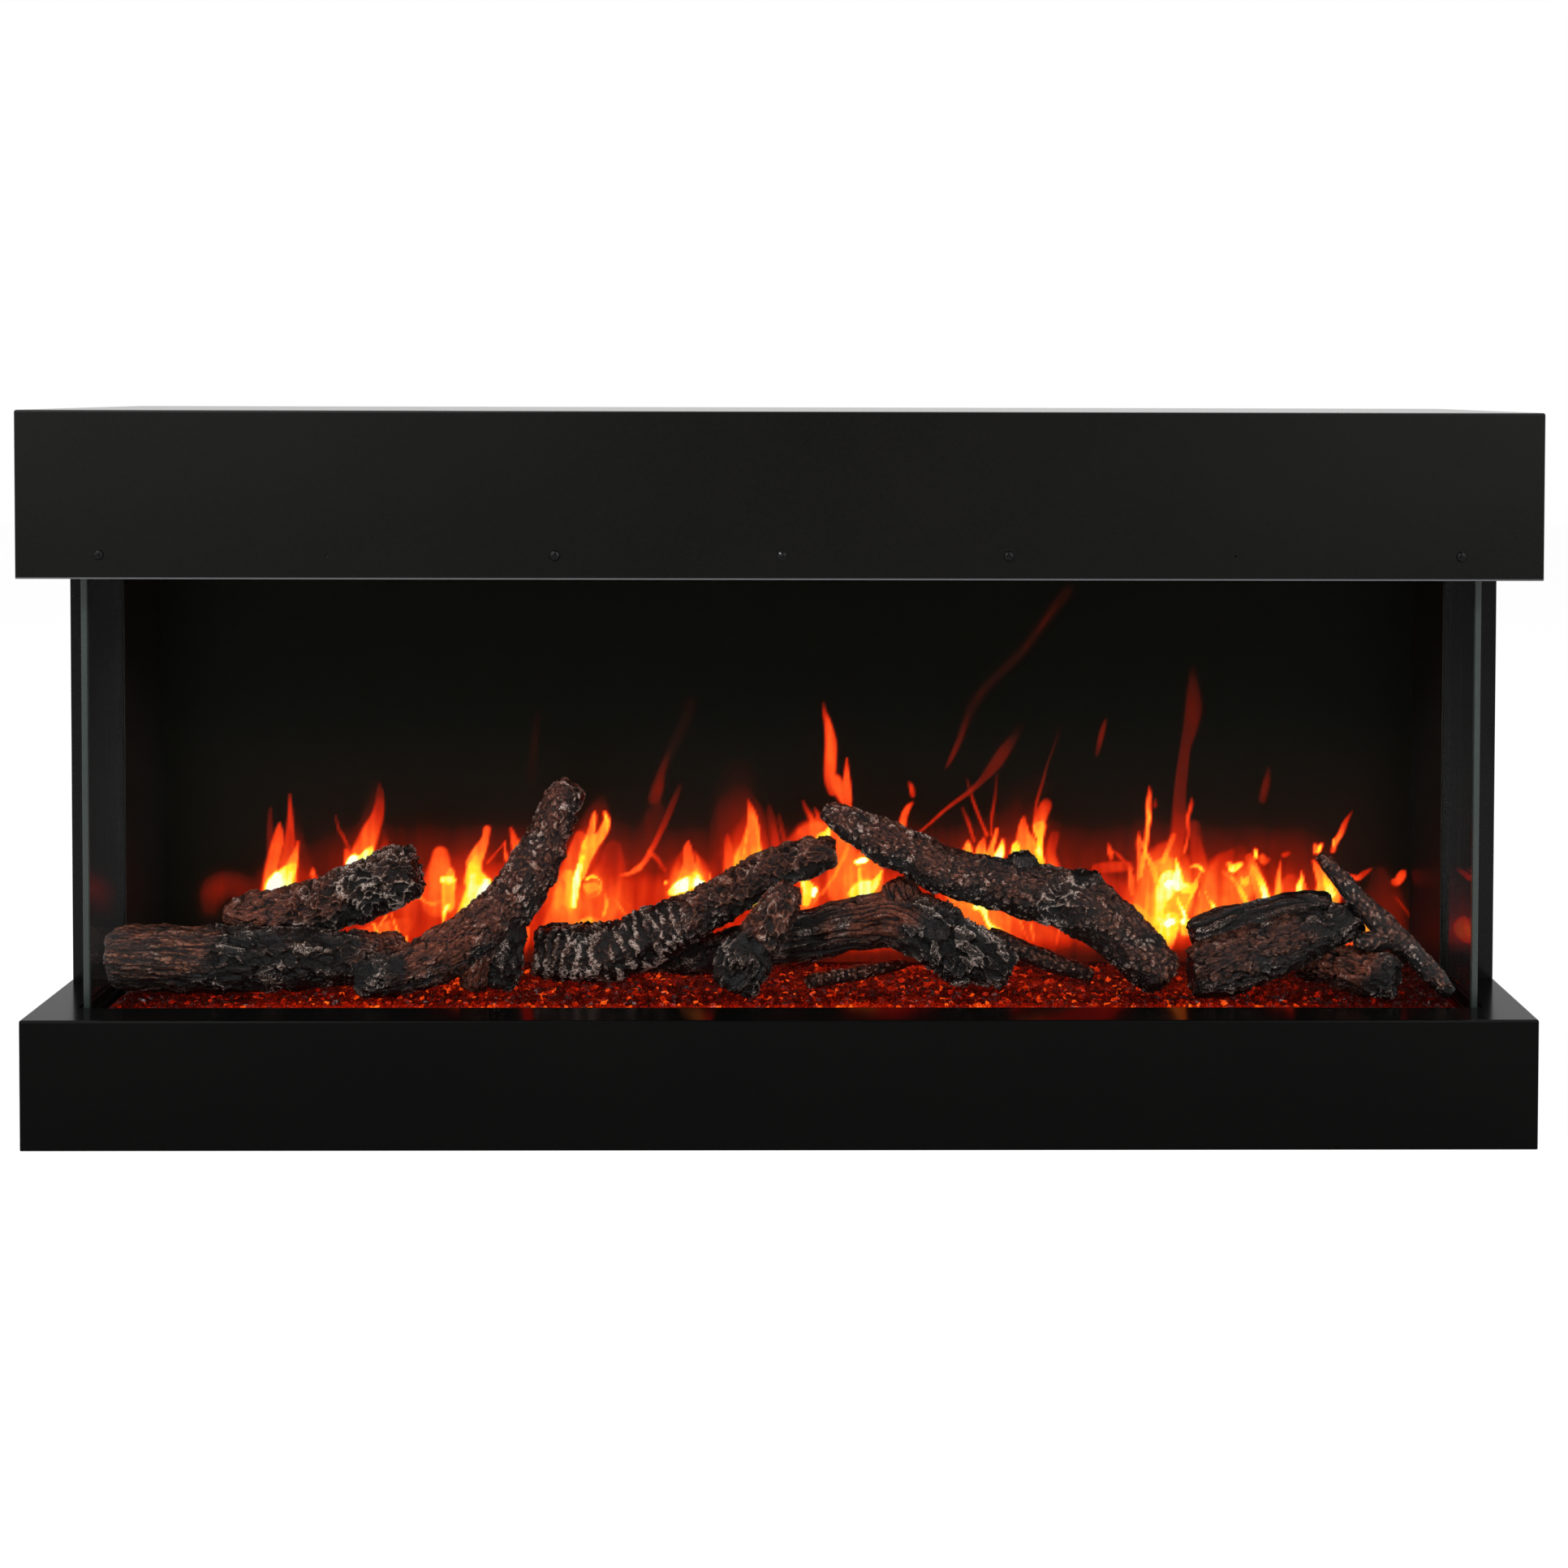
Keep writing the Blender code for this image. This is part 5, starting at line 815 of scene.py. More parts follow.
def bark_paint():
    """Hand-painted cast resin: brown bark with painted shade, black char, and dry-brushed
    silver ash mixed with painted highlights.
    """
    material, tree, shader, where = new_finish("hand_painted_cast_resin",
                                               Specular_IOR_Level=0.22)
    value = {name: add(tree, "Attribute", {"attribute_name": name}).outputs["Fac"]
             for name in PAINTED}
    way = add(tree, "Attribute", {"attribute_name": "bark_way"}).outputs["Vector"]
    lengthwise = add(tree, "Mapping", {"Scale": (90, 800, 800)}, {"Vector": way})
    fibre = add(tree, "TexNoise", {"Scale": 1.0, "Detail": 4.0}, {"Vector": lengthwise})
    speck = add(tree, "TexNoise", {"Scale": 1000.0, "Detail": 3.0, "Roughness": 0.7},
                {"Vector": where})
    patch = add(tree, "TexNoise", {"Scale": 42.0, "Detail": 3.0}, {"Vector": where})
    blocks = add(tree, "Mapping", {"Scale": (170, 370, 370)}, {"Vector": way})
    crackle = add(tree, "TexVoronoi", {"feature": "DISTANCE_TO_EDGE", "Scale": 1.0},
                  {"Vector": blocks})
    crumbs = add(tree, "TexNoise", {"Scale": 300.0, "Detail": 4.0, "Roughness": 0.65},
                 {"Vector": where})

    # Painted shade: high places are brown, and the colour goes dark in the grooves, as shade would,
    # and along the crackle.
    lit = add(tree, "Math", {"operation": "MULTIPLY_ADD", 1: 0.6}, {0: fibre, 2: value["relief"]})
    raised = add(tree, "MapRange", {"From Min": 0.35, "From Max": 1.25}, {"Value": lit})
    ridge = add(tree, "MapRange", {"From Max": 0.16, "To Min": 0.3}, {"Value": crackle})
    high = add(tree, "Math", {"operation": "MULTIPLY"}, {0: raised, 1: ridge})
    brown = add(tree, "ValToRGB", {"stops": [(0.0, "030202"), (0.3, "150c07"), (0.6, "3b2215"),
                                             (1.0, "8c5840")]}, {"Fac": high})
    # Painted red light: raised places turn red, partly as red paint and partly as the flames'
    # light.
    red_light_share = add(tree, "Math", {"operation": "MULTIPLY"}, {0: value["rusty"], 1: high})
    reddened = add(tree, "MixRGB", {"Color2": tone("82402b")}, {"Fac": red_light_share, "Color1": brown})

    # Soot lies in patches and wherever the bark is charred.
    black = add(tree, "ValToRGB", {"stops": [(0.2, "030202"), (0.9, "1d130e")]}, {"Fac": high})
    sooty = add(tree, "MapRange", {"From Min": 0.52, "From Max": 0.68, "To Max": 0.55},
                {"Value": patch})
    soot = add(tree, "Math", {"operation": "ADD", "use_clamp": True},
               {0: sooty, 1: value["charred"]})
    burnt = add(tree, "MixRGB", {}, {"Fac": soot, "Color1": reddened, "Color2": black})

    # Ash, partly dry-brushed paint and partly painted highlights, is caught where specks, relief
    # and frosting add up past a limit.
    sharp = add(tree, "MapRange", {"To Min": -0.45, "To Max": 1.45}, {"Value": speck})
    caught = add(tree, "Math", {"operation": "MULTIPLY_ADD", 1: 0.7},
                 {0: value["relief"], 2: sharp})
    brushed = add(tree, "Math", {"operation": "MULTIPLY_ADD", 1: 0.26},
                  {0: value["frosted"], 2: caught})
    clustered = add(tree, "Math", {"operation": "MULTIPLY_ADD", 1: 0.5}, {0: patch, 2: brushed})
    ash = add(tree, "MapRange", {"From Min": 1.56, "From Max": 1.7, "To Max": 0.85},
              {"Value": clustered})
    painted = add(tree, "MixRGB", {"Color2": tone("dac4b8")}, {"Fac": ash, "Color1": burnt})
    gloss = add(tree, "MapRange", {"To Min": 0.14, "To Max": 0.1}, {"Value": value["charred"]})

    # Four bumps, each on top of the one before: fibres, crackle, crumbs and grit.
    bump = None
    for height, strength, depth in ((fibre, 0.8, 0.7), (ridge, 0.8, 0.5), (crumbs, 0.9, 1.6),
                                    (speck, 0.7, 0.7)):
        under = {"Normal": bump} if bump else {}
        bump = add(tree, "Bump", {"Strength": strength, "Distance": depth * MM},
                   {"Height": height, **under})
    link(tree, shader, {"Base Color": painted, "Roughness": gloss, "Normal": bump})
    return material


resin = bark_paint()
print(resin.name, "with", len(resin.node_tree.nodes), "nodes")

# %% [markdown]
# Carving moves each vertex inwards along its normal. The bark's own relief comes first, then
# slow lumps that take the roundness off the limb, and last a hollow where one limb broke off
# another. The depths are in millimetres.

# %% Carve and paint every log
VOXEL = 1.15 * MM
THIN_LIMB = 28
THIN_VOXEL_SHARE = 0.62
ZONE_BLEND, USED_WEIGHT = 0.05, 0.001
ZONE_WANDER, WANDER_LUMPS = 0.16, (25, 18, 18)
LIMB_APART = 0.7
CONTRAST = 3.4
KEPT_HEIGHT = 0.6
LUMP_DEPTH = 8.0
LUMPS = ((0.36, 34), (0.4, 16), (0.24, 8))
HOLLOW_DEPTH, HOLLOW_LUMPS = 7.0, (9, 9, 9)
HOLLOW_REACH = (3 * MM, 11 * MM)
FULL_DEPTH_RADIUS, LEAST_DEPTH = 20 * MM, 0.3
CROWN, PAINTED_SHADE_UNDERSIDE, RED_LIGHT_ON_TOP = (0.3, 0.75), (-0.05, 0.6), (0.0, 0.8)
NEXT_TO_NOTHING = 1e-6


def keep(mesh, name, values, kind="FLOAT"):
    """Keeps numbers of each vertex on the mesh, for its material to read."""
    attribute = mesh.attributes.new(name, kind, "POINT")
    attribute.data.foreach_set("vector" if kind == "FLOAT_VECTOR" else "value",
                               np.asarray(values, np.float32).ravel())


def vectors(mesh, name):
    """The places or the normals of all vertices of a mesh."""
    found = np.empty(len(mesh.vertices) * 3, np.float32)
    mesh.vertices.foreach_get(name, found)
    return found.reshape(-1, 3)


def carve(piece, limbs, zones):
    """Moves each vertex inwards by the bark of its zones, and keeps the paint's attributes."""
    mesh = piece.data
    points, normals = vectors(mesh, "co").astype(float), vectors(mesh, "normal")
    facing_up = normals[:, 2]
    along, share, across, limb_of, reach = bark_places(points, limbs)
    way = np.column_stack([along + limb_of * LIMB_APART, across])
    wander = share + ZONE_WANDER * (waves(way, *WANDER_LUMPS) - 0.5)
    total = np.zeros(len(points)) + NEXT_TO_NOTHING
    sums = {key: np.zeros(len(points)) for key in PAINTED + ("depth", "crown")}
    for kind, limb, start, stop in zones:
        bark, charred, frosted, rusty, crown = BARKS[kind]
        weight = rise(wander, start - ZONE_BLEND, start + ZONE_BLEND)
        weight = weight * (1 - rise(wander, stop - ZONE_BLEND, stop + ZONE_BLEND))
        weight = weight * (limb_of == limb)
        used = weight > USED_WEIGHT
        height = np.zeros(len(points))
        carved, depth = bark(way[used])
        spread = CONTRAST * carved.std() + NEXT_TO_NOTHING
        height[used] = np.clip(0.5 + (carved - carved.mean()) / spread, 0, 1)
        total += weight
        shares = {"depth": (KEPT_HEIGHT - height) * depth, "relief": height, "charred": charred,
                  "frosted": frosted, "rusty": rusty, "crown": crown}
        for key, number in shares.items():
            sums[key] += weight * number
    lumps = LUMP_DEPTH * (sum(part * waves(points, size, size, size) for part, size in LUMPS) - 0.5)
    broken = rise(-reach, *HOLLOW_REACH)
    hollow = HOLLOW_DEPTH * broken * (0.3 + waves(points, *HOLLOW_LUMPS))
    inward = (sums["depth"] / total + lumps + hollow) * MM
    above = rise(facing_up, *CROWN) * sums["crown"] / total
    # Painted shade: faces that point down are painted more charred, so undersides come out dark.
    below = rise(-facing_up, *PAINTED_SHADE_UNDERSIDE)
    sums["charred"] += total * (0.8 * below + 0.6 * above + 0.8 * broken)
    sums["frosted"] -= 0.5 * total * above
    # Painted red light: faces that point up are painted redder, as if lit red from above.
    sums["rusty"] += total * 0.3 * rise(facing_up, *RED_LIGHT_ON_TOP)
    slender = np.clip(np.linalg.norm(across, axis=1) / FULL_DEPTH_RADIUS, LEAST_DEPTH, 1)
    points -= normals * (inward * slender)[:, None]
    mesh.vertices.foreach_set("co", points.astype(np.float32).ravel())
    for key in PAINTED:
        keep(mesh, key, np.clip(sums[key] / total, 0, 1))
    keep(mesh, "bark_way", way, "FLOAT_VECTOR")
    mesh.polygons.foreach_set("use_smooth", [True] * len(mesh.polygons))
    mesh.update()


corners = 0
for log, rows in LOG_ROWS.items():
    limbs = [ring_places(stations(limb)) for limb in rows]
    thin = max(row[3] for row in rows[0]) < THIN_LIMB
    piece = melted("carved_" + log, limbs, VOXEL * (THIN_VOXEL_SHARE if thin else 1.0))
    carve(piece, limbs, ZONES[log])
    piece.data.materials.append(resin)
    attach(piece, "cabinet")
    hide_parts(log)
    corners += len(piece.data.vertices)
print(len(LOG_ROWS), "logs carved with", corners, "vertices")

# %% [markdown]
# ## Ember bed
# Crushed tempered glass lies in a red tray over a strip of lamps. Every chip is a little block
# with knocked-off corners, so four such blocks are made and laid again and again on a jittered
# grid, a few of them on top of the rest. The bed is banked up a little at the back, against the
# screen. The chips are 4.7 mm across, as such glass is.

# %% Chips of glass
CHIP_SIZE = 4.7 * MM
CHIP_FLATNESS = 0.62
CHIP_KINDS = 4
KNOCKED = (0.62, 1.08)
TILT = 0.6
chance = random.Random(SEED)


def chip_shape():
    """A block of crushed glass with its corners knocked about."""
    shape = bmesh.new()
    bmesh.ops.create_cube(shape, size=CHIP_SIZE)
    for vert in shape.verts:
        vert.co *= chance.uniform(*KNOCKED)
        vert.co.z *= CHIP_FLATNESS
    mesh = bpy.data.meshes.new("chip")
    shape.to_mesh(mesh)
    shape.free()
    return mesh


def lay_chip(bed, chip, place, size):
    """Adds one turned copy of a chip to the bed."""
    turned = Matrix.Translation(place) @ Matrix.Rotation(chance.uniform(0, math.tau), 4, "Z")
    for axis in "XY":
        turned = turned @ Matrix.Rotation(chance.uniform(-TILT, TILT), 4, axis)
    turned = turned @ Matrix.Scale(size, 4)
    chip.transform(turned)
    bed.from_mesh(chip)
    chip.transform(turned.inverted())


chips = [chip_shape() for _ in range(CHIP_KINDS)]
print(len(chips), "kinds of chip with", len(chips[0].vertices), "corners each")

# %% [markdown]
# Each chip keeps its own glow, brighter over the lamps at the front and in patches some 3 cm
# wide, and weaker towards the ends of the strip. A few chips catch the light and shine.

# %% Laying the chips
CHIP_PITCH = 3.8 * MM
JITTER = 0.3
BED_MARGIN = CHIP_SIZE * 0.55
BANK_RISE, BANK_DEPTH = 4.4 * MM, 16 * MM
FIRST_LAYER, LAYER_JITTER = 5.2 * MM, 1.2 * MM
LOOSE_SHARE, LOOSE_RISE = 0.24, 2.1 * MM
CHIP_SIZES = (0.75, 1.15)
LIT_FRONT = 9 * MM
DULLEST, AT_FRONT, IN_PATCHES, IN_SPOTS, BY_LUCK = 0.06, 0.26, 0.2, 0.16, 0.55
LUCK_POWER = 8
GLOW_AT_END = 0.35
STRIP_MIDDLE, STRIP_HALF, STRIP_FADE = -0.03, 0.585, 0.2
low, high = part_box("ember_media")


def chip_glow(place):
    """How brightly a chip is lit, from patches a few centimetres wide and its own luck."""
    patches = 0.5 + 0.7 * noise.noise(Vector((place.x * 28, place.y * 45, 1.7)))
    spots = 0.5 + 0.6 * noise.noise(Vector((place.x * 140, place.y * 140, 5.1)))
    from_end = (STRIP_HALF - abs(place.x - STRIP_MIDDLE)) / STRIP_FADE
    over_strip = min(1.0, max(0.0, from_end))
    front = max(0.0, 1 - (place.y - low.y) / LIT_FRONT)
    glow = DULLEST + AT_FRONT * front + IN_PATCHES * patches + IN_SPOTS * spots
    glow += BY_LUCK * chance.random() ** LUCK_POWER
    return max(0.0, min(1.0, glow * (GLOW_AT_END + (1 - GLOW_AT_END) * over_strip)))


def jittered(step, start, stop):
    """The place of one step of the grid, pushed about but kept between the margins."""
    place = start + BED_MARGIN + (step + chance.uniform(-JITTER, JITTER)) * CHIP_PITCH
    return max(start + BED_MARGIN, min(stop - BED_MARGIN, place))


bed, glows = bmesh.new(), []
for row in range(int((high.y - low.y - 2 * BED_MARGIN) / CHIP_PITCH) + 1):
    for column in range(int((high.x - low.x - 2 * BED_MARGIN) / CHIP_PITCH) + 1):
        x = jittered(column, low.x, high.x)
        y = jittered(row, low.y, high.y)
        banked = BANK_RISE * max(0.0, 1 - (high.y - y) / BANK_DEPTH)
        levels = [low.z + FIRST_LAYER + banked + chance.uniform(0, LAYER_JITTER)]
        if chance.random() < LOOSE_SHARE:
            levels.append(levels[0] + LOOSE_RISE)
        for level in levels:
            place = Vector((x, y, level))
            lay_chip(bed, chance.choice(chips), place, chance.uniform(*CHIP_SIZES))
            glows.append(chip_glow(place))
print(len(glows), "chips of glass")

# %% [markdown]
# The finish turns the kept number into colour and light. Noise a millimetre wide makes each
# broken face a little brighter or darker than its neighbour, as the lamplight in glass does.

# %% Glow of the chips
ember_glass, tree, shader, where = new_finish("glowing_crushed_glass", Roughness=0.2,
                                              Specular_IOR_Level=0.07, Emission_Strength=1.0)
level = add(tree, "Attribute", {"attribute_name": "chip_glow"}).outputs["Fac"]
clouds = add(tree, "TexNoise", {"Scale": 800.0, "Detail": 2.0}, {"Vector": where})
uneven = add(tree, "Math", {"operation": "SUBTRACT", 1: 0.51}, {0: clouds})
heat = add(tree, "Math", {"operation": "ADD"}, {0: level, 1: uneven})
lit = add(tree, "ValToRGB", {"stops": [(0.0, "060101"), (0.2, "220301"), (0.38, "5c0902"),
                                       (0.58, "ac1803"), (0.8, "f44c0c"), (1.0, "ff8028")]},
          {"Fac": heat})
body = add(tree, "ValToRGB", {"stops": [(0.0, "050101"), (1.0, "120301")]}, {"Fac": heat})
link(tree, shader, {"Base Color": body, "Emission Color": lit})

chip_bed = mesh_piece("crushed_glass_bed", bed, ember_glass)
keep(chip_bed.data, "chip_glow", np.repeat(glows, len(chips[0].vertices)))
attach(chip_bed, "cabinet")
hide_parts("ember_media")
print("bed box", [tuple(round(c, 4) for c in corner[:]) for corner in (low, high)])

# %% [markdown]
# ## Flames on the screen
# The flames are light, thrown through a stencil and a turning rod onto the back of a smoked
# acrylic screen. The screen is built again as a closed sheet with a fine grid on its face, and
# each vertex keeps how much light falls on it. Every tongue of flame is a short curve with a
# width and a heat at each of its points. Where tongues cross, the brightest one shows and the
# others add only a little.
#
# Each row is one tongue: first the softness of its edge in hundredths, and then, for each point
# on the way up, its place across, its height and its half width in millimetres on the screen and
# its heat in hundredths.

# %% Tongues of flame
TONGUES = (
    (95, -541, 149, 13, 12, -536, 165, 17, 19, -521, 171, 19, 17, -506, 158, 15, 13),
    (80, -467, 156, 25.9, 20, -464, 186, 22.8, 16, -462, 217, 15.2, 10, -462, 240, 7.6, 6),
    (50, -446, 152, 10.7, 26, -447, 171, 10.7, 22, -452, 194, 9.1, 14, -458, 217, 6.1, 10),
    (50, -484, 202, 4.6, 20, -484, 224, 3.8, 18, -484, 243, 2.3, 12),
    (30, -487, 163, 7.6, 46, -484, 182, 6.8, 50, -480, 202, 6.1, 50, -477, 215, 5.3, 46,
     -476, 229, 1.5, 40),
    (40, -470, 192, 10.7, 36, -467, 213, 6.8, 34, -466, 232, 3.8, 36, -466, 255, 1.5, 26),
    (30, -470, 152, 10.7, 56, -467, 171, 9.1, 58, -465, 188, 6.8, 56, -461, 203, 3, 50,
     -459, 212, 1.5, 40),
    (35, -470, 150, 6.8, 66, -475, 160, 10.7, 80, -472, 174, 11.4, 84, -467, 183, 8.4, 80,
     -462, 189, 3.8, 66),
    (50, -485, 160, 7.6, 98, -482, 169, 9.9, 102, -478, 179, 6.1, 96),
    (40, -442, 176, 3, 36, -444, 182, 3, 48, -444, 188, 1.1, 40),
    (80, -397, 186, 25.9, 24, -396, 209, 21.3, 16, -389, 240, 13.7, 10, -385, 266, 6.1, 5),
    (35, -403, 189, 13.7, 52, -397, 205, 11.4, 50, -391, 221, 9.9, 44, -385, 236, 6.8, 34,
     -382, 251, 4.6, 22, -382, 266, 2.3, 10),
    (40, -412, 191, 4.6, 50, -413, 202, 3, 42, -415, 205, 1.5, 34),
    (30, -402, 192, 5.3, 80, -396, 197, 6.1, 84, -392, 203, 3.8, 84, -390, 208, 1.5, 70),
    (45, -411, 189, 4.6, 96, -408, 194, 5.3, 100, -406, 197, 3.8, 95),
    (50, -411, 205, 1.5, 28, -417, 217, 1.9, 30, -421, 224, 1.5, 26, -424, 237, 1.1, 14),
    (60, -379, 198, 6.8, 30, -377, 209, 6.1, 22, -379, 221, 3.8, 12),
    (20, -328, 156, 19.8, 46, -327, 175, 16.7, 50, -326, 189, 12.2, 50, -326, 199, 9.1, 46),
    (35, -318, 151, 7.6, 60, -318, 163, 7.6, 62, -317, 174, 7.6, 66, -315, 185, 3, 56),
    (30, -323, 176, 3.8, 82, -317, 176, 4.6, 86, -311, 176, 2.3, 70),
    (35, -322, 136, 1.9, 70, -321, 145, 2.3, 80, -318, 150, 3, 84, -315, 148, 1.5, 60),
    (35, -353, 159, 2.3, 86, -348, 161, 2.7, 86, -343, 158, 1.5, 60),
    (40, -343, 157, 1.5, 60, -334, 153, 2.3, 56, -324, 156, 2.3, 50),
    (20, -294, 191, 7.6, 62, -289, 203, 6.1, 56, -284, 214, 3.8, 54, -282, 223, 3.4, 52),
    (30, -295, 174, 9.1, 80, -294, 185, 7.6, 80, -292, 192, 5.3, 72, -289, 200, 3, 60),
    (30, -299, 143, 12.2, 76, -294, 154, 12.9, 84, -290, 165, 13.7, 86, -291, 174, 9.9, 84),
    (50, -288, 159, 6.8, 98, -285, 166, 8.4, 100, -282, 173, 5.3, 92),
    (35, -253, 192, 6.8, 50, -253, 205, 5.3, 50, -256, 214, 3.8, 46, -259, 223, 1.9, 40),
    (40, -247, 195, 1.9, 60, -248, 203, 1.9, 60, -251, 212, 1.5, 50),
    (40, -261, 189, 2.3, 48, -264, 200, 2.3, 50, -265, 211, 1.5, 40),
    (50, -282, 191, 1.1, 40, -273, 202, 1.1, 40, -264, 212, 1.1, 36),
    (40, -388, 134, 1.9, 72, -384, 125, 1.9, 74, -379, 117, 2.3, 70),
    (40, -376, 142, 1.5, 62, -381, 134, 1.5, 60, -386, 127, 1.5, 50),
    (40, -372, 145, 1.1, 62, -367, 131, 1.5, 66, -361, 116, 2.3, 70),
    (40, -357, 114, 2.3, 76, -357, 120, 2.3, 66, -358, 125, 0.8, 50),
    (50, -404, 119, 10.7, 48, -391, 124, 12.2, 50, -373, 127, 13.7, 48, -358, 133, 10.7, 40),
    (30, -252, 83, 9.1, 50, -252, 102, 9.1, 50, -247, 121, 6.1, 50, -244, 129, 3, 48),
    (40, -214, 125, 22.8, 50, -209, 148, 19.8, 50, -206, 171, 15.2, 48, -201, 194, 10.7, 42,
     -195, 217, 6.1, 36),
    (80, -191, 194, 22.8, 28, -179, 232, 15.2, 18, -175, 251, 9.1, 8),
    (25, -201, 150, 3, 84, -200, 160, 3.8, 88, -198, 174, 4.6, 90, -195, 186, 3.8, 84,
     -192, 197, 3, 74),
    (25, -194, 179, 4.6, 60, -189, 197, 7.6, 62, -185, 208, 9.1, 62, -181, 214, 6.8, 60),
    (25, -188, 209, 4.6, 58, -184, 223, 3.8, 60, -182, 234, 3, 66, -181, 239, 1.5, 60),
    (25, -179, 212, 5.3, 60, -172, 223, 5.3, 62, -169, 232, 3.8, 66, -171, 239, 2.3, 62),
    (30, -169, 222, 1.9, 74, -169, 231, 2.3, 80, -171, 237, 1.5, 74),
    (50, -176, 148, 25.9, 46, -172, 167, 22.8, 44, -166, 186, 16.7, 30, -163, 205, 10.7, 22),
    (30, -188, 176, 1.9, 74, -182, 179, 1.9, 76, -176, 176, 1.5, 62, -175, 171, 1.5, 60,
     -177, 163, 1.9, 56, -183, 160, 1.5, 52, -189, 164, 1.5, 50, -191, 171, 1.5, 55),
    (40, -185, 168, 6.8, 56, -181, 169, 6.8, 56),
    (30, -206, 154, 6.1, 56, -203, 171, 5.3, 56, -206, 180, 7.6, 56),
    (40, -197, 131, 6.1, 56, -185, 134, 9.1, 60, -174, 133, 4.6, 50),
    (30, -172, 142, 1.9, 66, -170, 153, 2.3, 64, -171, 162, 1.5, 56),
    (40, -154, 143, 1.5, 56, -159, 151, 1.5, 54, -163, 157, 1.1, 50),
    (50, -147, 183, 3, 44, -136, 192, 3, 44, -128, 206, 3, 36, -118, 225, 3.8, 28,
     -109, 244, 3.8, 18, -102, 263, 3, 8),
    (50, -157, 180, 2.3, 40, -148, 182, 2.3, 46, -139, 186, 2.3, 40),
    (50, -116, 185, 2.3, 30, -122, 194, 2.3, 34, -130, 202, 2.3, 40, -132, 203, 1.5, 40),
    (80, -125, 251, 7.6, 16, -122, 263, 7.6, 18, -118, 278, 6.1, 12, -107, 301, 6.1, 7,
     -96, 324, 6.1, 5, -92, 341, 6.1, 4),
    (80, -130, 183, 25.9, 20, -130, 217, 19.8, 14, -122, 240, 13.7, 10),
    (30, -93, 166, 16.7, 56, -92, 179, 12.2, 58, -93, 191, 6.8, 54, -94, 202, 5.3, 52,
     -93, 211, 1.9, 46),
    (35, -81, 175, 4.6, 54, -83, 186, 3, 50, -85, 196, 2.3, 46, -86, 200, 1.1, 40),
    (30, -109, 163, 3.8, 82, -102, 168, 6.8, 86, -93, 173, 8.4, 90, -86, 177, 6.1, 84,
     -89, 182, 3, 70),
    (40, -96, 168, 4.6, 100, -96, 174, 3.8, 100),
    (40, -84, 173, 3.8, 100, -80, 173, 3, 100),
    (40, -115, 173, 1.9, 80, -114, 173, 1.9, 80),
    (30, -72, 174, 1.1, 62, -74, 180, 1.1, 56, -74, 183, 0.8, 50),
    (40, -92, 156, 27.4, 48, -92, 179, 21.3, 42, -93, 194, 13.7, 30),
    (50, -35, 175, 30.4, 38, -35, 194, 27.4, 34, -35, 217, 21.3, 26, -35, 240, 13.7, 14,
     -37, 255, 6.1, 8),
    (25, -37, 179, 19.8, 50, -36, 194, 16.7, 54, -34, 209, 10.7, 54, -33, 225, 6.8, 52,
     -34, 237, 4.6, 50, -38, 251, 1.1, 30),
    (30, -26, 194, 3, 60, -26, 209, 2.3, 60, -28, 225, 2.3, 56, -32, 235, 2.3, 52),
    (40, -54, 179, 9.1, 46, -55, 194, 7.6, 42, -56, 209, 4.6, 36, -57, 217, 2.3, 30),
    (40, -45, 186, 1.5, 62, -40, 205, 1.5, 60, -37, 221, 1.5, 58),
    (60, -11, 209, 6.1, 32, -14, 228, 5.3, 22, -17, 244, 3, 12),
    (60, -2, 209, 3.8, 30, -5, 223, 3, 22, -8, 236, 2.3, 12),
    (80, -54, 202, 30.4, 22, -50, 240, 25.9, 14, -46, 270, 19.8, 6),
    (40, 11, 206, 16.7, 34, 22, 217, 15.2, 46, 36, 222, 10.7, 52, 45, 225, 7.6, 46),
    (40, 25, 220, 4.6, 50, 22, 232, 3, 40, 18, 241, 2.3, 30, 15, 249, 1.5, 20),
    (40, 30, 225, 3, 46, 27, 237, 2.3, 34, 25, 243, 1.1, 20),
    (40, 15, 217, 4.6, 48, 11, 222, 2.3, 46),
    (35, 31, 215, 6.1, 70, 36, 219, 3.8, 84, 38, 225, 1.9, 76),
    (20, 42, 259, 4.6, 34, 40, 271, 6.1, 46, 40, 286, 6.8, 50, 40, 305, 6.1, 50, 37, 322, 3.8, 46,
     34, 333, 2.3, 30, 33, 342, 1.5, 12),
    (25, 45, 269, 7.6, 46, 50, 259, 7.6, 46, 55, 248, 5.3, 46, 58, 240, 3, 46),
    (30, 57, 251, 3.8, 48, 56, 267, 3.8, 48, 56, 280, 2.3, 46, 56, 290, 1.1, 40),
    (30, 53, 167, 19.8, 50, 54, 190, 18.3, 50, 50, 209, 13.7, 50, 44, 223, 9.1, 50),
    (30, 76, 167, 15.2, 54, 77, 186, 13.7, 54, 74, 196, 10.7, 54),
    (35, 32, 162, 2.3, 52, 45, 180, 2.3, 58, 54, 200, 3, 60, 57, 211, 2.3, 56),
    (25, 65, 192, 3, 98, 70, 194, 3.4, 102, 73, 195, 3, 98),
    (35, 62, 162, 6.8, 80, 70, 166, 10.7, 84, 77, 169, 7.6, 84, 83, 174, 3.8, 80,
     88, 185, 1.5, 70),
    (40, 67, 176, 2.3, 70, 67, 186, 1.9, 68),
    (25, 17, 154, 4.6, 74, 19, 165, 6.1, 84, 16, 173, 4.6, 84, 13, 176, 3, 70),
    (40, 24, 160, 2.3, 96, 25, 165, 3, 100),
    (30, 15, 150, 9.1, 50, 22, 163, 10.7, 50),
    (25, -34, 150, 3, 66, -29, 154, 3, 86, -26, 158, 1.5, 70),
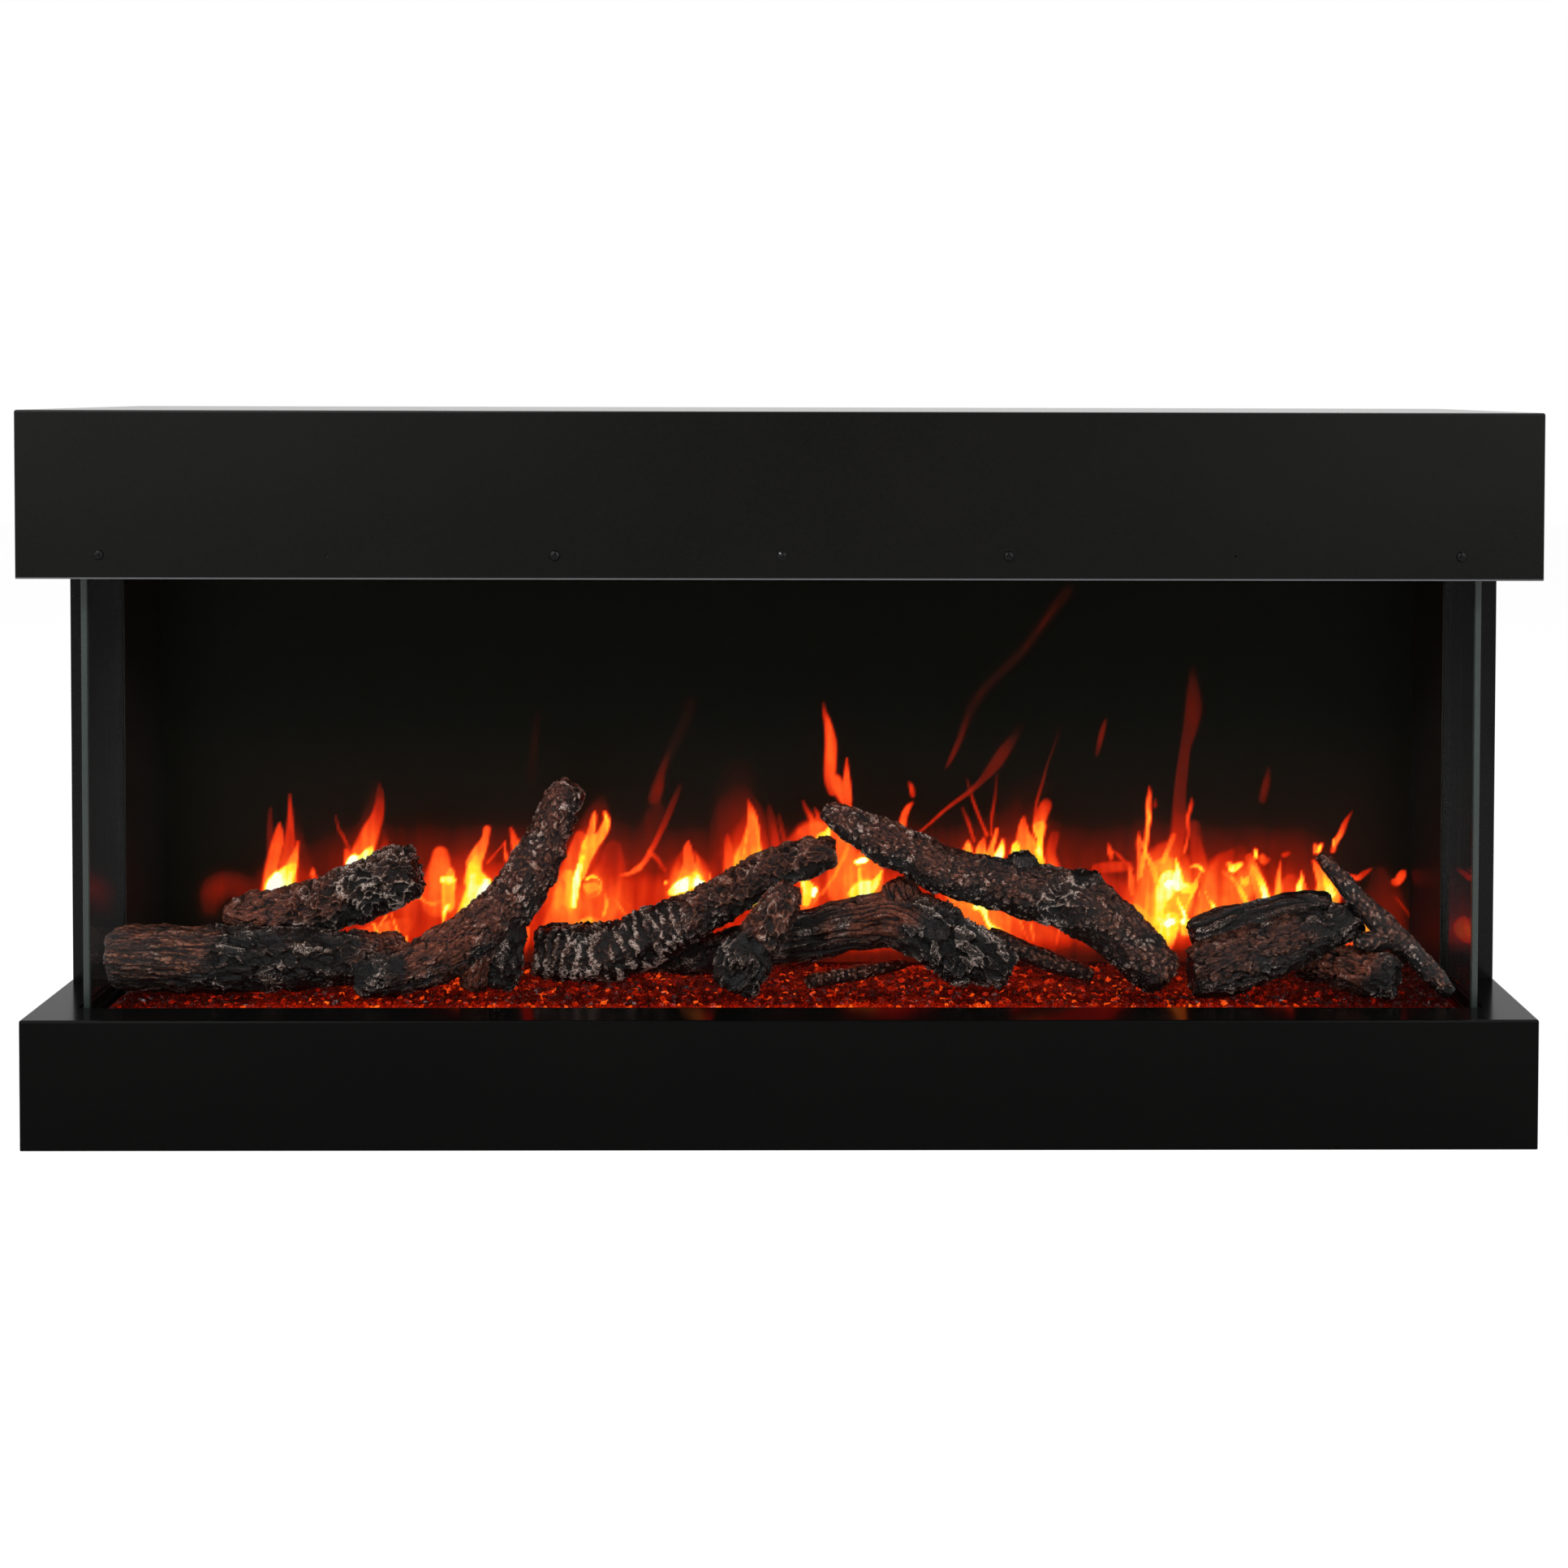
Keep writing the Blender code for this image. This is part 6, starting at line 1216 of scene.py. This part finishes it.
    (25, 105, 209, 3.8, 56, 106, 221, 3.8, 60, 108, 234, 3.8, 50, 112, 243, 3, 48,
     117, 248, 1.5, 30),
    (40, 117, 255, 2.3, 36, 116, 263, 2.7, 40, 114, 268, 1.1, 30),
    (40, 105, 213, 3, 66, 109, 217, 2.3, 62),
    (50, 114, 214, 1.1, 30, 133, 228, 1.5, 34, 152, 245, 1.9, 28, 171, 260, 2.7, 22,
     182, 269, 3.8, 19, 193, 282, 6.8, 17, 203, 297, 7.6, 14, 212, 310, 5.3, 10, 219, 320, 3, 6),
    (60, 148, 280, 1.5, 10, 153, 290, 3, 17, 161, 308, 4.2, 13, 168, 327, 5, 9.5, 176, 345, 5.6, 8,
     194, 365, 5, 7.5, 213, 384, 5, 8, 238, 415, 5.4, 9, 262, 448, 5.6, 7.5),
    (50, 187, 217, 1.9, 42, 181, 231, 1.5, 38, 173, 251, 1.5, 30, 167, 271, 1.1, 16),
    (50, 175, 212, 1.5, 36, 169, 231, 1.9, 30, 164, 244, 1.5, 18),
    (50, 191, 217, 1.5, 40, 191, 236, 1.5, 30, 194, 255, 1.5, 20, 196, 274, 1.5, 12),
    (30, 169, 197, 6.8, 60, 169, 205, 4.6, 60, 169, 212, 1.5, 50),
    (30, 182, 197, 7.6, 60, 182, 205, 4.6, 58, 184, 214, 1.5, 50),
    (30, 196, 193, 3.8, 84, 199, 199, 4.6, 88, 201, 206, 3, 84, 202, 214, 1.1, 66),
    (40, 190, 194, 4.6, 62, 192, 206, 3, 60, 195, 217, 2.3, 56, 196, 223, 1.5, 60),
    (25, 228, 185, 13.7, 60, 227, 196, 13.7, 60, 225, 206, 12.2, 58, 222, 217, 7.6, 54,
     222, 229, 3.8, 48, 223, 235, 1.5, 40),
    (30, 214, 202, 5.3, 86, 214, 208, 3.8, 84, 216, 212, 1.5, 70),
    (30, 239, 189, 4.6, 62, 237, 202, 3.8, 86, 238, 212, 3, 74, 237, 220, 5.3, 70,
     237, 225, 6.8, 62),
    (35, 236, 226, 6.1, 50, 239, 237, 6.1, 42, 242, 245, 6.1, 34, 243, 249, 3, 24),
    (50, 233, 232, 1.5, 46, 234, 248, 1.5, 30, 239, 267, 1.5, 20, 243, 282, 1.5, 14,
     249, 301, 1.5, 10, 255, 320, 1.5, 6),
    (70, 205, 189, 53.3, 20, 213, 217, 41.9, 13, 222, 244, 26.6, 8, 236, 263, 15.2, 5),
    (50, 250, 188, 7.6, 50, 248, 202, 6.1, 34, 251, 217, 6.1, 20),
    (20, 152, 160, 6.1, 50, 175, 146, 15.2, 52, 198, 133, 16.7, 50, 229, 119, 19.8, 40,
     259, 108, 18.3, 34, 282, 100, 10.7, 26),
    (30, 178, 150, 3.8, 84, 184, 148, 3.8, 82, 187, 139, 2.3, 84, 192, 131, 3, 84, 199, 127, 3, 70,
     207, 122, 2.3, 56),
    (40, 216, 142, 1.1, 60, 222, 127, 1.5, 58, 229, 111, 1.5, 50),
    (40, 227, 139, 1.1, 60, 230, 125, 1.5, 56, 232, 111, 1.1, 50),
    (40, 254, 131, 1.5, 56, 253, 117, 1.5, 52, 250, 107, 1.1, 40),
    (50, 45, 93, 15.2, 42, 76, 102, 16.7, 46, 99, 102, 13.7, 40),
    (30, 73, 96, 3.8, 56, 76, 107, 2.3, 52),
    (40, 290, 294, 2.3, 12, 293, 310, 3, 22, 296, 323, 2.3, 16, 298, 329, 1.1, 8),
    (40, 304, 196, 2.3, 36, 303, 203, 3, 48, 301, 211, 1.1, 34),
    (40, 308, 202, 1.5, 36, 318, 193, 1.5, 40, 324, 186, 1.5, 40),
    (60, 291, 186, 7.6, 30, 305, 188, 7.6, 34, 320, 189, 6.1, 34),
    (25, 331, 179, 2.3, 56, 334, 194, 2.7, 60, 337, 209, 2.3, 60, 338, 225, 2.7, 62,
     339, 235, 2.7, 76, 338, 245, 3, 62, 339, 255, 2.3, 54, 339, 263, 1.1, 30),
    (50, 345, 246, 2.3, 26, 345, 251, 1.5, 20),
    (30, 323, 163, 3, 50, 322, 179, 3, 52, 322, 188, 1.5, 44),
    (30, 328, 175, 1.9, 52, 331, 193, 2.3, 54, 330, 212, 2.3, 50, 330, 222, 1.1, 30),
    (30, 330, 217, 1.5, 50, 337, 202, 2.3, 58, 343, 186, 3.8, 60, 346, 175, 3, 60),
    (25, 349, 140, 4.6, 70, 351, 156, 6.1, 76, 355, 166, 10.7, 79, 358, 176, 9.9, 76,
     363, 171, 9.1, 74),
    (25, 367, 170, 6.8, 86, 366, 180, 4.6, 86, 366, 188, 2.7, 84, 365, 196, 1.1, 70),
    (30, 372, 168, 6.1, 80, 380, 168, 4.6, 72, 384, 176, 2.3, 62, 387, 182, 1.5, 56),
    (45, 357, 171, 3.8, 98, 360, 172, 2.7, 100),
    (20, 357, 111, 4.6, 70, 357, 121, 8.4, 74, 358, 130, 9.9, 76, 360, 137, 9.1, 76),
    (50, 357, 135, 4.6, 98, 361, 136, 4.6, 98),
    (25, 352, 117, 9.1, 60, 351, 133, 15.2, 62, 355, 148, 22.8, 58, 358, 163, 25.9, 56,
     355, 179, 21.3, 50),
    (30, 371, 136, 3.8, 84, 381, 134, 4.6, 74, 392, 137, 3, 70, 403, 140, 3, 86,
     409, 141, 1.9, 80),
    (35, 375, 128, 7.6, 62, 389, 133, 7.6, 58, 404, 136, 4.6, 52),
    (30, 326, 148, 6.1, 56, 337, 139, 6.1, 60, 348, 137, 4.6, 66),
    (35, 372, 142, 1.5, 76, 375, 152, 1.5, 70, 380, 163, 2.3, 70, 384, 173, 1.5, 60),
    (35, 366, 159, 1.5, 80, 369, 150, 2.3, 84, 374, 140, 2.3, 84),
    (30, 343, 133, 30.4, 50, 351, 156, 35, 48, 355, 179, 30.4, 42, 358, 194, 21.3, 32),
    (35, 358, 183, 9.1, 44, 363, 202, 9.9, 36, 366, 220, 9, 26, 367, 240, 7.5, 20,
     368, 259, 6.6, 17, 373, 297, 6, 15, 378, 318, 8, 13.5, 381, 339, 9.8, 12.5, 380, 355, 7, 10,
     379, 372, 3, 6),
    (40, 353, 194, 3, 60, 358, 206, 3, 50, 362, 217, 3, 42),
    (40, 373, 202, 1.9, 50, 376, 217, 1.5, 44, 375, 232, 1.9, 46, 378, 244, 2.3, 40,
     379, 252, 1.1, 26),
    (60, 389, 179, 12.2, 40, 385, 202, 9.1, 30, 382, 225, 7.6, 20),
    (35, 378, 188, 1.5, 60, 384, 189, 2.3, 72, 389, 185, 1.9, 84, 390, 182, 1.1, 60),
    (30, 404, 144, 25.9, 50, 412, 163, 30.4, 48, 416, 179, 25.9, 42, 419, 189, 18.3, 30,
     425, 202, 9.1, 20),
    (35, 392, 165, 1.1, 66, 396, 157, 1.5, 60, 401, 150, 2.3, 80, 404, 144, 2.3, 86),
    (40, 384, 175, 1.1, 60, 387, 160, 1.1, 58, 393, 144, 1.1, 50),
    (35, 409, 183, 2.3, 50, 419, 176, 3, 56, 427, 163, 3, 66, 433, 151, 3, 62, 436, 143, 2.3, 56),
    (30, 415, 191, 3, 60, 418, 186, 3.8, 84, 422, 189, 3.8, 84, 427, 191, 2.3, 70),
    (40, 427, 177, 2.3, 60, 430, 173, 3.8, 64, 432, 177, 3, 60),
    (30, 437, 188, 2.3, 56, 442, 179, 3.8, 62, 447, 167, 3.8, 82, 450, 157, 3.8, 86,
     452, 150, 2.3, 70),
    (35, 450, 150, 7.6, 56, 444, 167, 7.6, 52, 438, 186, 6.1, 50, 434, 197, 4.6, 36),
    (30, 441, 197, 2.3, 84, 440, 203, 2.3, 76, 440, 205, 1.1, 50),
    (25, 447, 196, 3.8, 50, 448, 193, 4.6, 50, 451, 194, 3, 46),
    (30, 459, 151, 3, 56, 461, 165, 3.8, 60, 461, 177, 3, 56, 463, 188, 1.5, 50,
     464, 194, 0.8, 40),
    (40, 467, 199, 3, 36, 471, 200, 2.3, 30),
    (35, 465, 151, 16.7, 44, 468, 163, 13.7, 40, 473, 175, 9.1, 30),
    (30, 481, 160, 3.8, 84, 481, 170, 3.4, 86, 483, 177, 2.3, 80, 483, 184, 1.1, 60),
    (35, 487, 160, 3.8, 60, 485, 171, 3, 56),
    (20, 507, 159, 13.7, 62, 507, 170, 10.7, 64, 502, 180, 6.8, 60, 497, 188, 3.8, 56,
     494, 194, 1.5, 50),
    (30, 510, 162, 6.1, 84, 508, 170, 4.6, 84, 505, 179, 2.3, 70),
    (25, 496, 202, 2.3, 60, 496, 208, 2.3, 56),
    (30, 499, 202, 2.3, 84, 501, 207, 2.3, 86, 502, 209, 1.5, 70),
    (30, 513, 203, 2.3, 50, 515, 211, 2.7, 60, 520, 219, 3, 50, 524, 228, 2.7, 42,
     529, 236, 1.5, 30, 532, 240, 0.8, 15),
    (40, 513, 208, 1.1, 84, 513, 213, 1.1, 80),
    (20, 512, 108, 9.1, 60, 524, 114, 7.6, 62, 533, 121, 5.3, 60),
    (20, 536, 123, 9.1, 56, 545, 130, 6.8, 56, 542, 137, 3.8, 54),
    (40, 529, 179, 3, 46, 536, 177, 3, 46, 542, 182, 3, 36, 548, 186, 1.5, 24),
    (80, 557, 125, 30.4, 24, 561, 156, 25.9, 16, 557, 179, 15.2, 10),
    (35, 571, 174, 3.8, 36, 575, 174, 3.8, 50, 578, 179, 4.6, 50, 580, 183, 2.3, 40),
    (50, 572, 160, 0.8, 30, 579, 150, 1.1, 34, 586, 140, 1.1, 30),
    (60, 446, 252, 6.1, 14, 449, 267, 5.3, 16, 451, 282, 3, 8),
    (80, -240, 270, 6.1, 5, -238, 301, 4.6, 8, -235, 331, 3, 4),
)
print(len(TONGUES), "tongues of flame")

# %% [markdown]
# The grid is 2 mm fine where the flames are, and coarser above them. It starts as one flat grid,
# whose rows are then moved to their heights, and its rim is extruded back to close the sheet.

# %% A fine grid on the face of the screen
FINE, COARSE = 2.0 * MM, 5 * MM
FLAME_TOP = 0.37

low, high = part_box("flame_screen")
middle, width = (low.x + high.x) / 2, high.x - low.x
columns = round(width / FINE)
fine_rows = round((FLAME_TOP - low.z) / FINE)
coarse_rows = round((high.z - FLAME_TOP) / COARSE)
rows = fine_rows + coarse_rows
upright = Matrix.Translation((middle, low.y, low.z)) @ Matrix.Rotation(math.pi / 2, 4, "X")

shape = bmesh.new()
bmesh.ops.create_grid(shape, x_segments=columns, y_segments=rows, size=0.5, matrix=upright)
for vert in shape.verts:
    row = (vert.co.z - low.z + 0.5) * rows
    vert.co.x = (vert.co.x - middle) * width + middle
    if row <= fine_rows:
        vert.co.z = low.z + (FLAME_TOP - low.z) * row / fine_rows
    else:
        vert.co.z = FLAME_TOP + (high.z - FLAME_TOP) * (row - fine_rows) / coarse_rows
face_count = len(shape.verts)
rim = [edge for edge in shape.edges if edge.is_boundary]
grown = bmesh.ops.extrude_edge_only(shape, edges=rim)["geom"]
moved = [part for part in grown if isinstance(part, bmesh.types.BMVert)]
bmesh.ops.translate(shape, verts=moved, vec=(0, high.y - low.y, 0))
back_rim = [part for part in grown if isinstance(part, bmesh.types.BMEdge)]
bmesh.ops.edgeloop_fill(shape, edges=back_rim)
bmesh.ops.recalc_face_normals(shape, faces=shape.faces)
print("screen grid", columns, "by", rows)

# %% [markdown]
# A tongue is full inside its width and fades across a soft edge, which is never narrower than
# the grid can show. A faint tongue is softer, because the real ones that are faint lie out of
# focus. Behind all tongues hangs a red glow, low on the screen.

# %% Light of one tongue, and the glow behind them all
EDGE = 1.3
STEPS = 10
FAINT_SOFTNESS, SOFTNESS_PER_HEAT = 1.15, 1.6
GLOW_HEIGHT = 190
BAND_HEAT, HAZE_HEAT, FAINT_HEAT = 0.36, 0.2, 0.05
BAND_FADE, HAZE_FADE, FAINT_FADE = (-26, 12), (175, 262), (150, 330)
GLOW_LEFT, GLOW_RIGHT = (-520, -380), (470, 540)
FAINT_LEFT, FAINT_RIGHT = (-590, -400), (520, 600)


def noise_at(places, wide, tall, layer):
    """Noise between minus one and one, with lumps of this width and height in millimetres."""
    return np.array([noise.noise(Vector((x / wide, z / tall, layer))) for x, z in places.tolist()])


def tongue_light(spots, softness, curve):
    """The light that one tongue throws on each spot of the screen."""
    softness = max(softness, FAINT_SOFTNESS - SOFTNESS_PER_HEAT * curve[:, 3].max())
    reach = curve[:, 2].max() + 2
    lowest, highest = curve[:, :2].min(axis=0) - reach, curve[:, :2].max(axis=0) + reach
    near = ((spots > lowest) & (spots < highest)).all(axis=1)
    close = spots[near]
    best = np.full(len(close), FAR)
    heat = np.zeros(len(close))
    for start, stop in zip(curve, curve[1:]):
        way = stop[:2] - start[:2]
        t = np.clip(((close - start[:2]) @ way) / max(way @ way, 1e-9), 0, 1)
        row = start + t[:, None] * (stop - start)
        gap = np.linalg.norm(close - row[:, :2], axis=1)
        inner = np.minimum(row[:, 2] * (1 - softness), row[:, 2] - EDGE)
        outer = np.maximum(row[:, 2] * (1.1 + 0.3 * softness), row[:, 2] + EDGE)
        share = (gap - inner) / (outer - inner)
        better = share < best
        best[better] = share[better]
        heat[better] = row[better, 3]
    light = np.zeros(len(spots))
    light[near] = heat * (1 - rise(best, 0, 1))
    return light


def back_glow(spots):
    """The red glow that hangs low on the screen behind the logs."""
    x, z = spots[:, 0], spots[:, 1]
    ends = rise(x, *GLOW_LEFT) * (1 - rise(x, *GLOW_RIGHT))
    height = GLOW_HEIGHT + 9 * np.sin(x / 47) + 7 * np.sin(x / 21 + 1.3)
    band = 1 - rise(z - height, *BAND_FADE)
    band = band * (0.93 + 0.26 * noise_at(spots, 19, 60, 2.2))
    haze = 1 - rise(z, *HAZE_FADE)
    faint = (1 - rise(z, *FAINT_FADE)) * rise(x, *FAINT_LEFT) * (1 - rise(x, *FAINT_RIGHT))
    low_glow = ends * np.maximum(BAND_HEAT * band, HAZE_HEAT * haze)
    return np.maximum(low_glow, FAINT_HEAT * faint)


# %% [markdown]
# The tongues are drawn on places that drift a little, which keeps their outlines from being too
# smooth. Fine upright streaks and soft veils break up their light, it fades at the foot of the
# screen, and the brightest cores spread a halo, as light does inside an acrylic sheet.

# %% Light on the screen
DRIFT = 1.6
CROSSING_SHARE = 0.05
STREAK_SHARE, VEIL_SHARE, VEILED_BELOW = 0.2, 0.16, 0.6
FOOT_LIGHT, FOOT_FADE = 0.3, (2, 26)
HALO_CELLS, HALO_SHARE, HALO_FROM, HALO_FULL = 6, 1.3, 0.45, 0.9

spots = np.array([(vert.co.x, vert.co.z) for vert in shape.verts]) / MM
drift = np.column_stack([noise_at(spots, 26, 34, layer) for layer in (0.5, 7.5)])
adrift = spots + DRIFT * drift
brightest = back_glow(adrift)
total = brightest.copy()
for softness, *numbers in TONGUES:
    points = np.array(numbers, float).reshape(-1, 4) * (1, 1, 1, 0.01)
    curve = smooth_curve(points, [STEPS] * (len(points) - 1))
    tongue = tongue_light(adrift, softness / 100, curve)
    brightest = np.maximum(brightest, tongue)
    total += tongue
light = brightest + CROSSING_SHARE * (total - brightest)
streaks = noise_at(adrift, 4.6, 44, 3.3)
veils = noise_at(adrift, 22, 30, 9.1) * (light < VEILED_BELOW)
light *= 1 + STREAK_SHARE * streaks + VEIL_SHARE * veils
above_foot = spots[:, 1] - low.z / MM
light *= FOOT_LIGHT + (1 - FOOT_LIGHT) * rise(above_foot, *FOOT_FADE)
light[face_count:] = 0

# The halo: what is brighter than a limit is blurred with a bell along rows and columns.
bell = np.exp(-0.5 * (np.arange(-3 * HALO_CELLS, 3 * HALO_CELLS + 1) / HALO_CELLS) ** 2)
front = light[:face_count]
halo = np.clip(front.reshape(-1, columns + 1) - HALO_FROM, 0, 0.5)
for axis in (0, 1):
    halo = np.apply_along_axis(np.convolve, axis, halo, bell / bell.sum(), mode="same")
front += HALO_SHARE * halo.ravel() * np.clip(HALO_FULL - front, 0, 1)
print("brightest light", round(float(light.max()), 2))

# %% [markdown]
# The finish is smoked acrylic, nearly black, that gives off the colour of the flame at each
# place. The eye sees the flames clipped by the exposure, which turns their deep orange to yellow.
# What they light, and what mirrors them weakly, sees their true brightness and true colour.

# %% Finish of the lit screen
SPILL = 6.0

lit_screen, tree, shader, where = new_finish("smoked_acrylic_with_flame_picture", Roughness=0.25,
                                             Specular_IOR_Level=0.02)
heat = add(tree, "Attribute", {"attribute_name": "flame_light"}).outputs["Fac"]
flicker = add(tree, "TexNoise", {"Scale": 160.0, "Detail": 2.0}, {"Vector": where})
swing = add(tree, "MapRange", {"To Min": 0.93, "To Max": 1.07}, {"Value": flicker})
level = add(tree, "Math", {"operation": "MULTIPLY"}, {0: heat, 1: swing})
flame = add(tree, "ValToRGB", {"stops": [
    (0.0, "020201"), (0.07, "1e0602"), (0.2, "701002"), (0.34, "ce2103"), (0.48, "fb4612"),
    (0.6, "ff7422"), (0.72, "ffb52a"), (0.84, "fff02e"), (0.93, "faffa0"), (1.0, "ffffee")]},
    {"Fac": level})
dye = add(tree, "ValToRGB", {"stops": [(0.3, "090905"), (0.7, "0c0b07")]}, {"Fac": flicker})
path = add(tree, "LightPath").outputs
power = add(tree, "Math", {"operation": "MULTIPLY_ADD", 1: SPILL, 2: 1.0},
            {0: path["Is Diffuse Ray"]})
indirect = add(tree, "Math", {"operation": "SUBTRACT", 0: 1.0, "use_clamp": True},
               {1: path["Is Camera Ray"]})
thrown = add(tree, "Math", {"operation": "SUBTRACT", "use_clamp": True},
             {0: indirect, 1: path["Is Transmission Ray"]})
flame = add(tree, "MixRGB", {"blend_type": "MULTIPLY", "Color2": tone("ff8a50")},
            {"Fac": thrown, "Color1": flame})
link(tree, shader, {"Base Color": dye, "Emission Color": flame, "Emission Strength": power})

screen = mesh_piece("flame_picture_screen", shape, lit_screen)
keep(screen.data, "flame_light", light)
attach(screen, "cabinet")
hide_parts("flame_screen")
print(screen.name, "with", len(screen.data.vertices), "vertices")
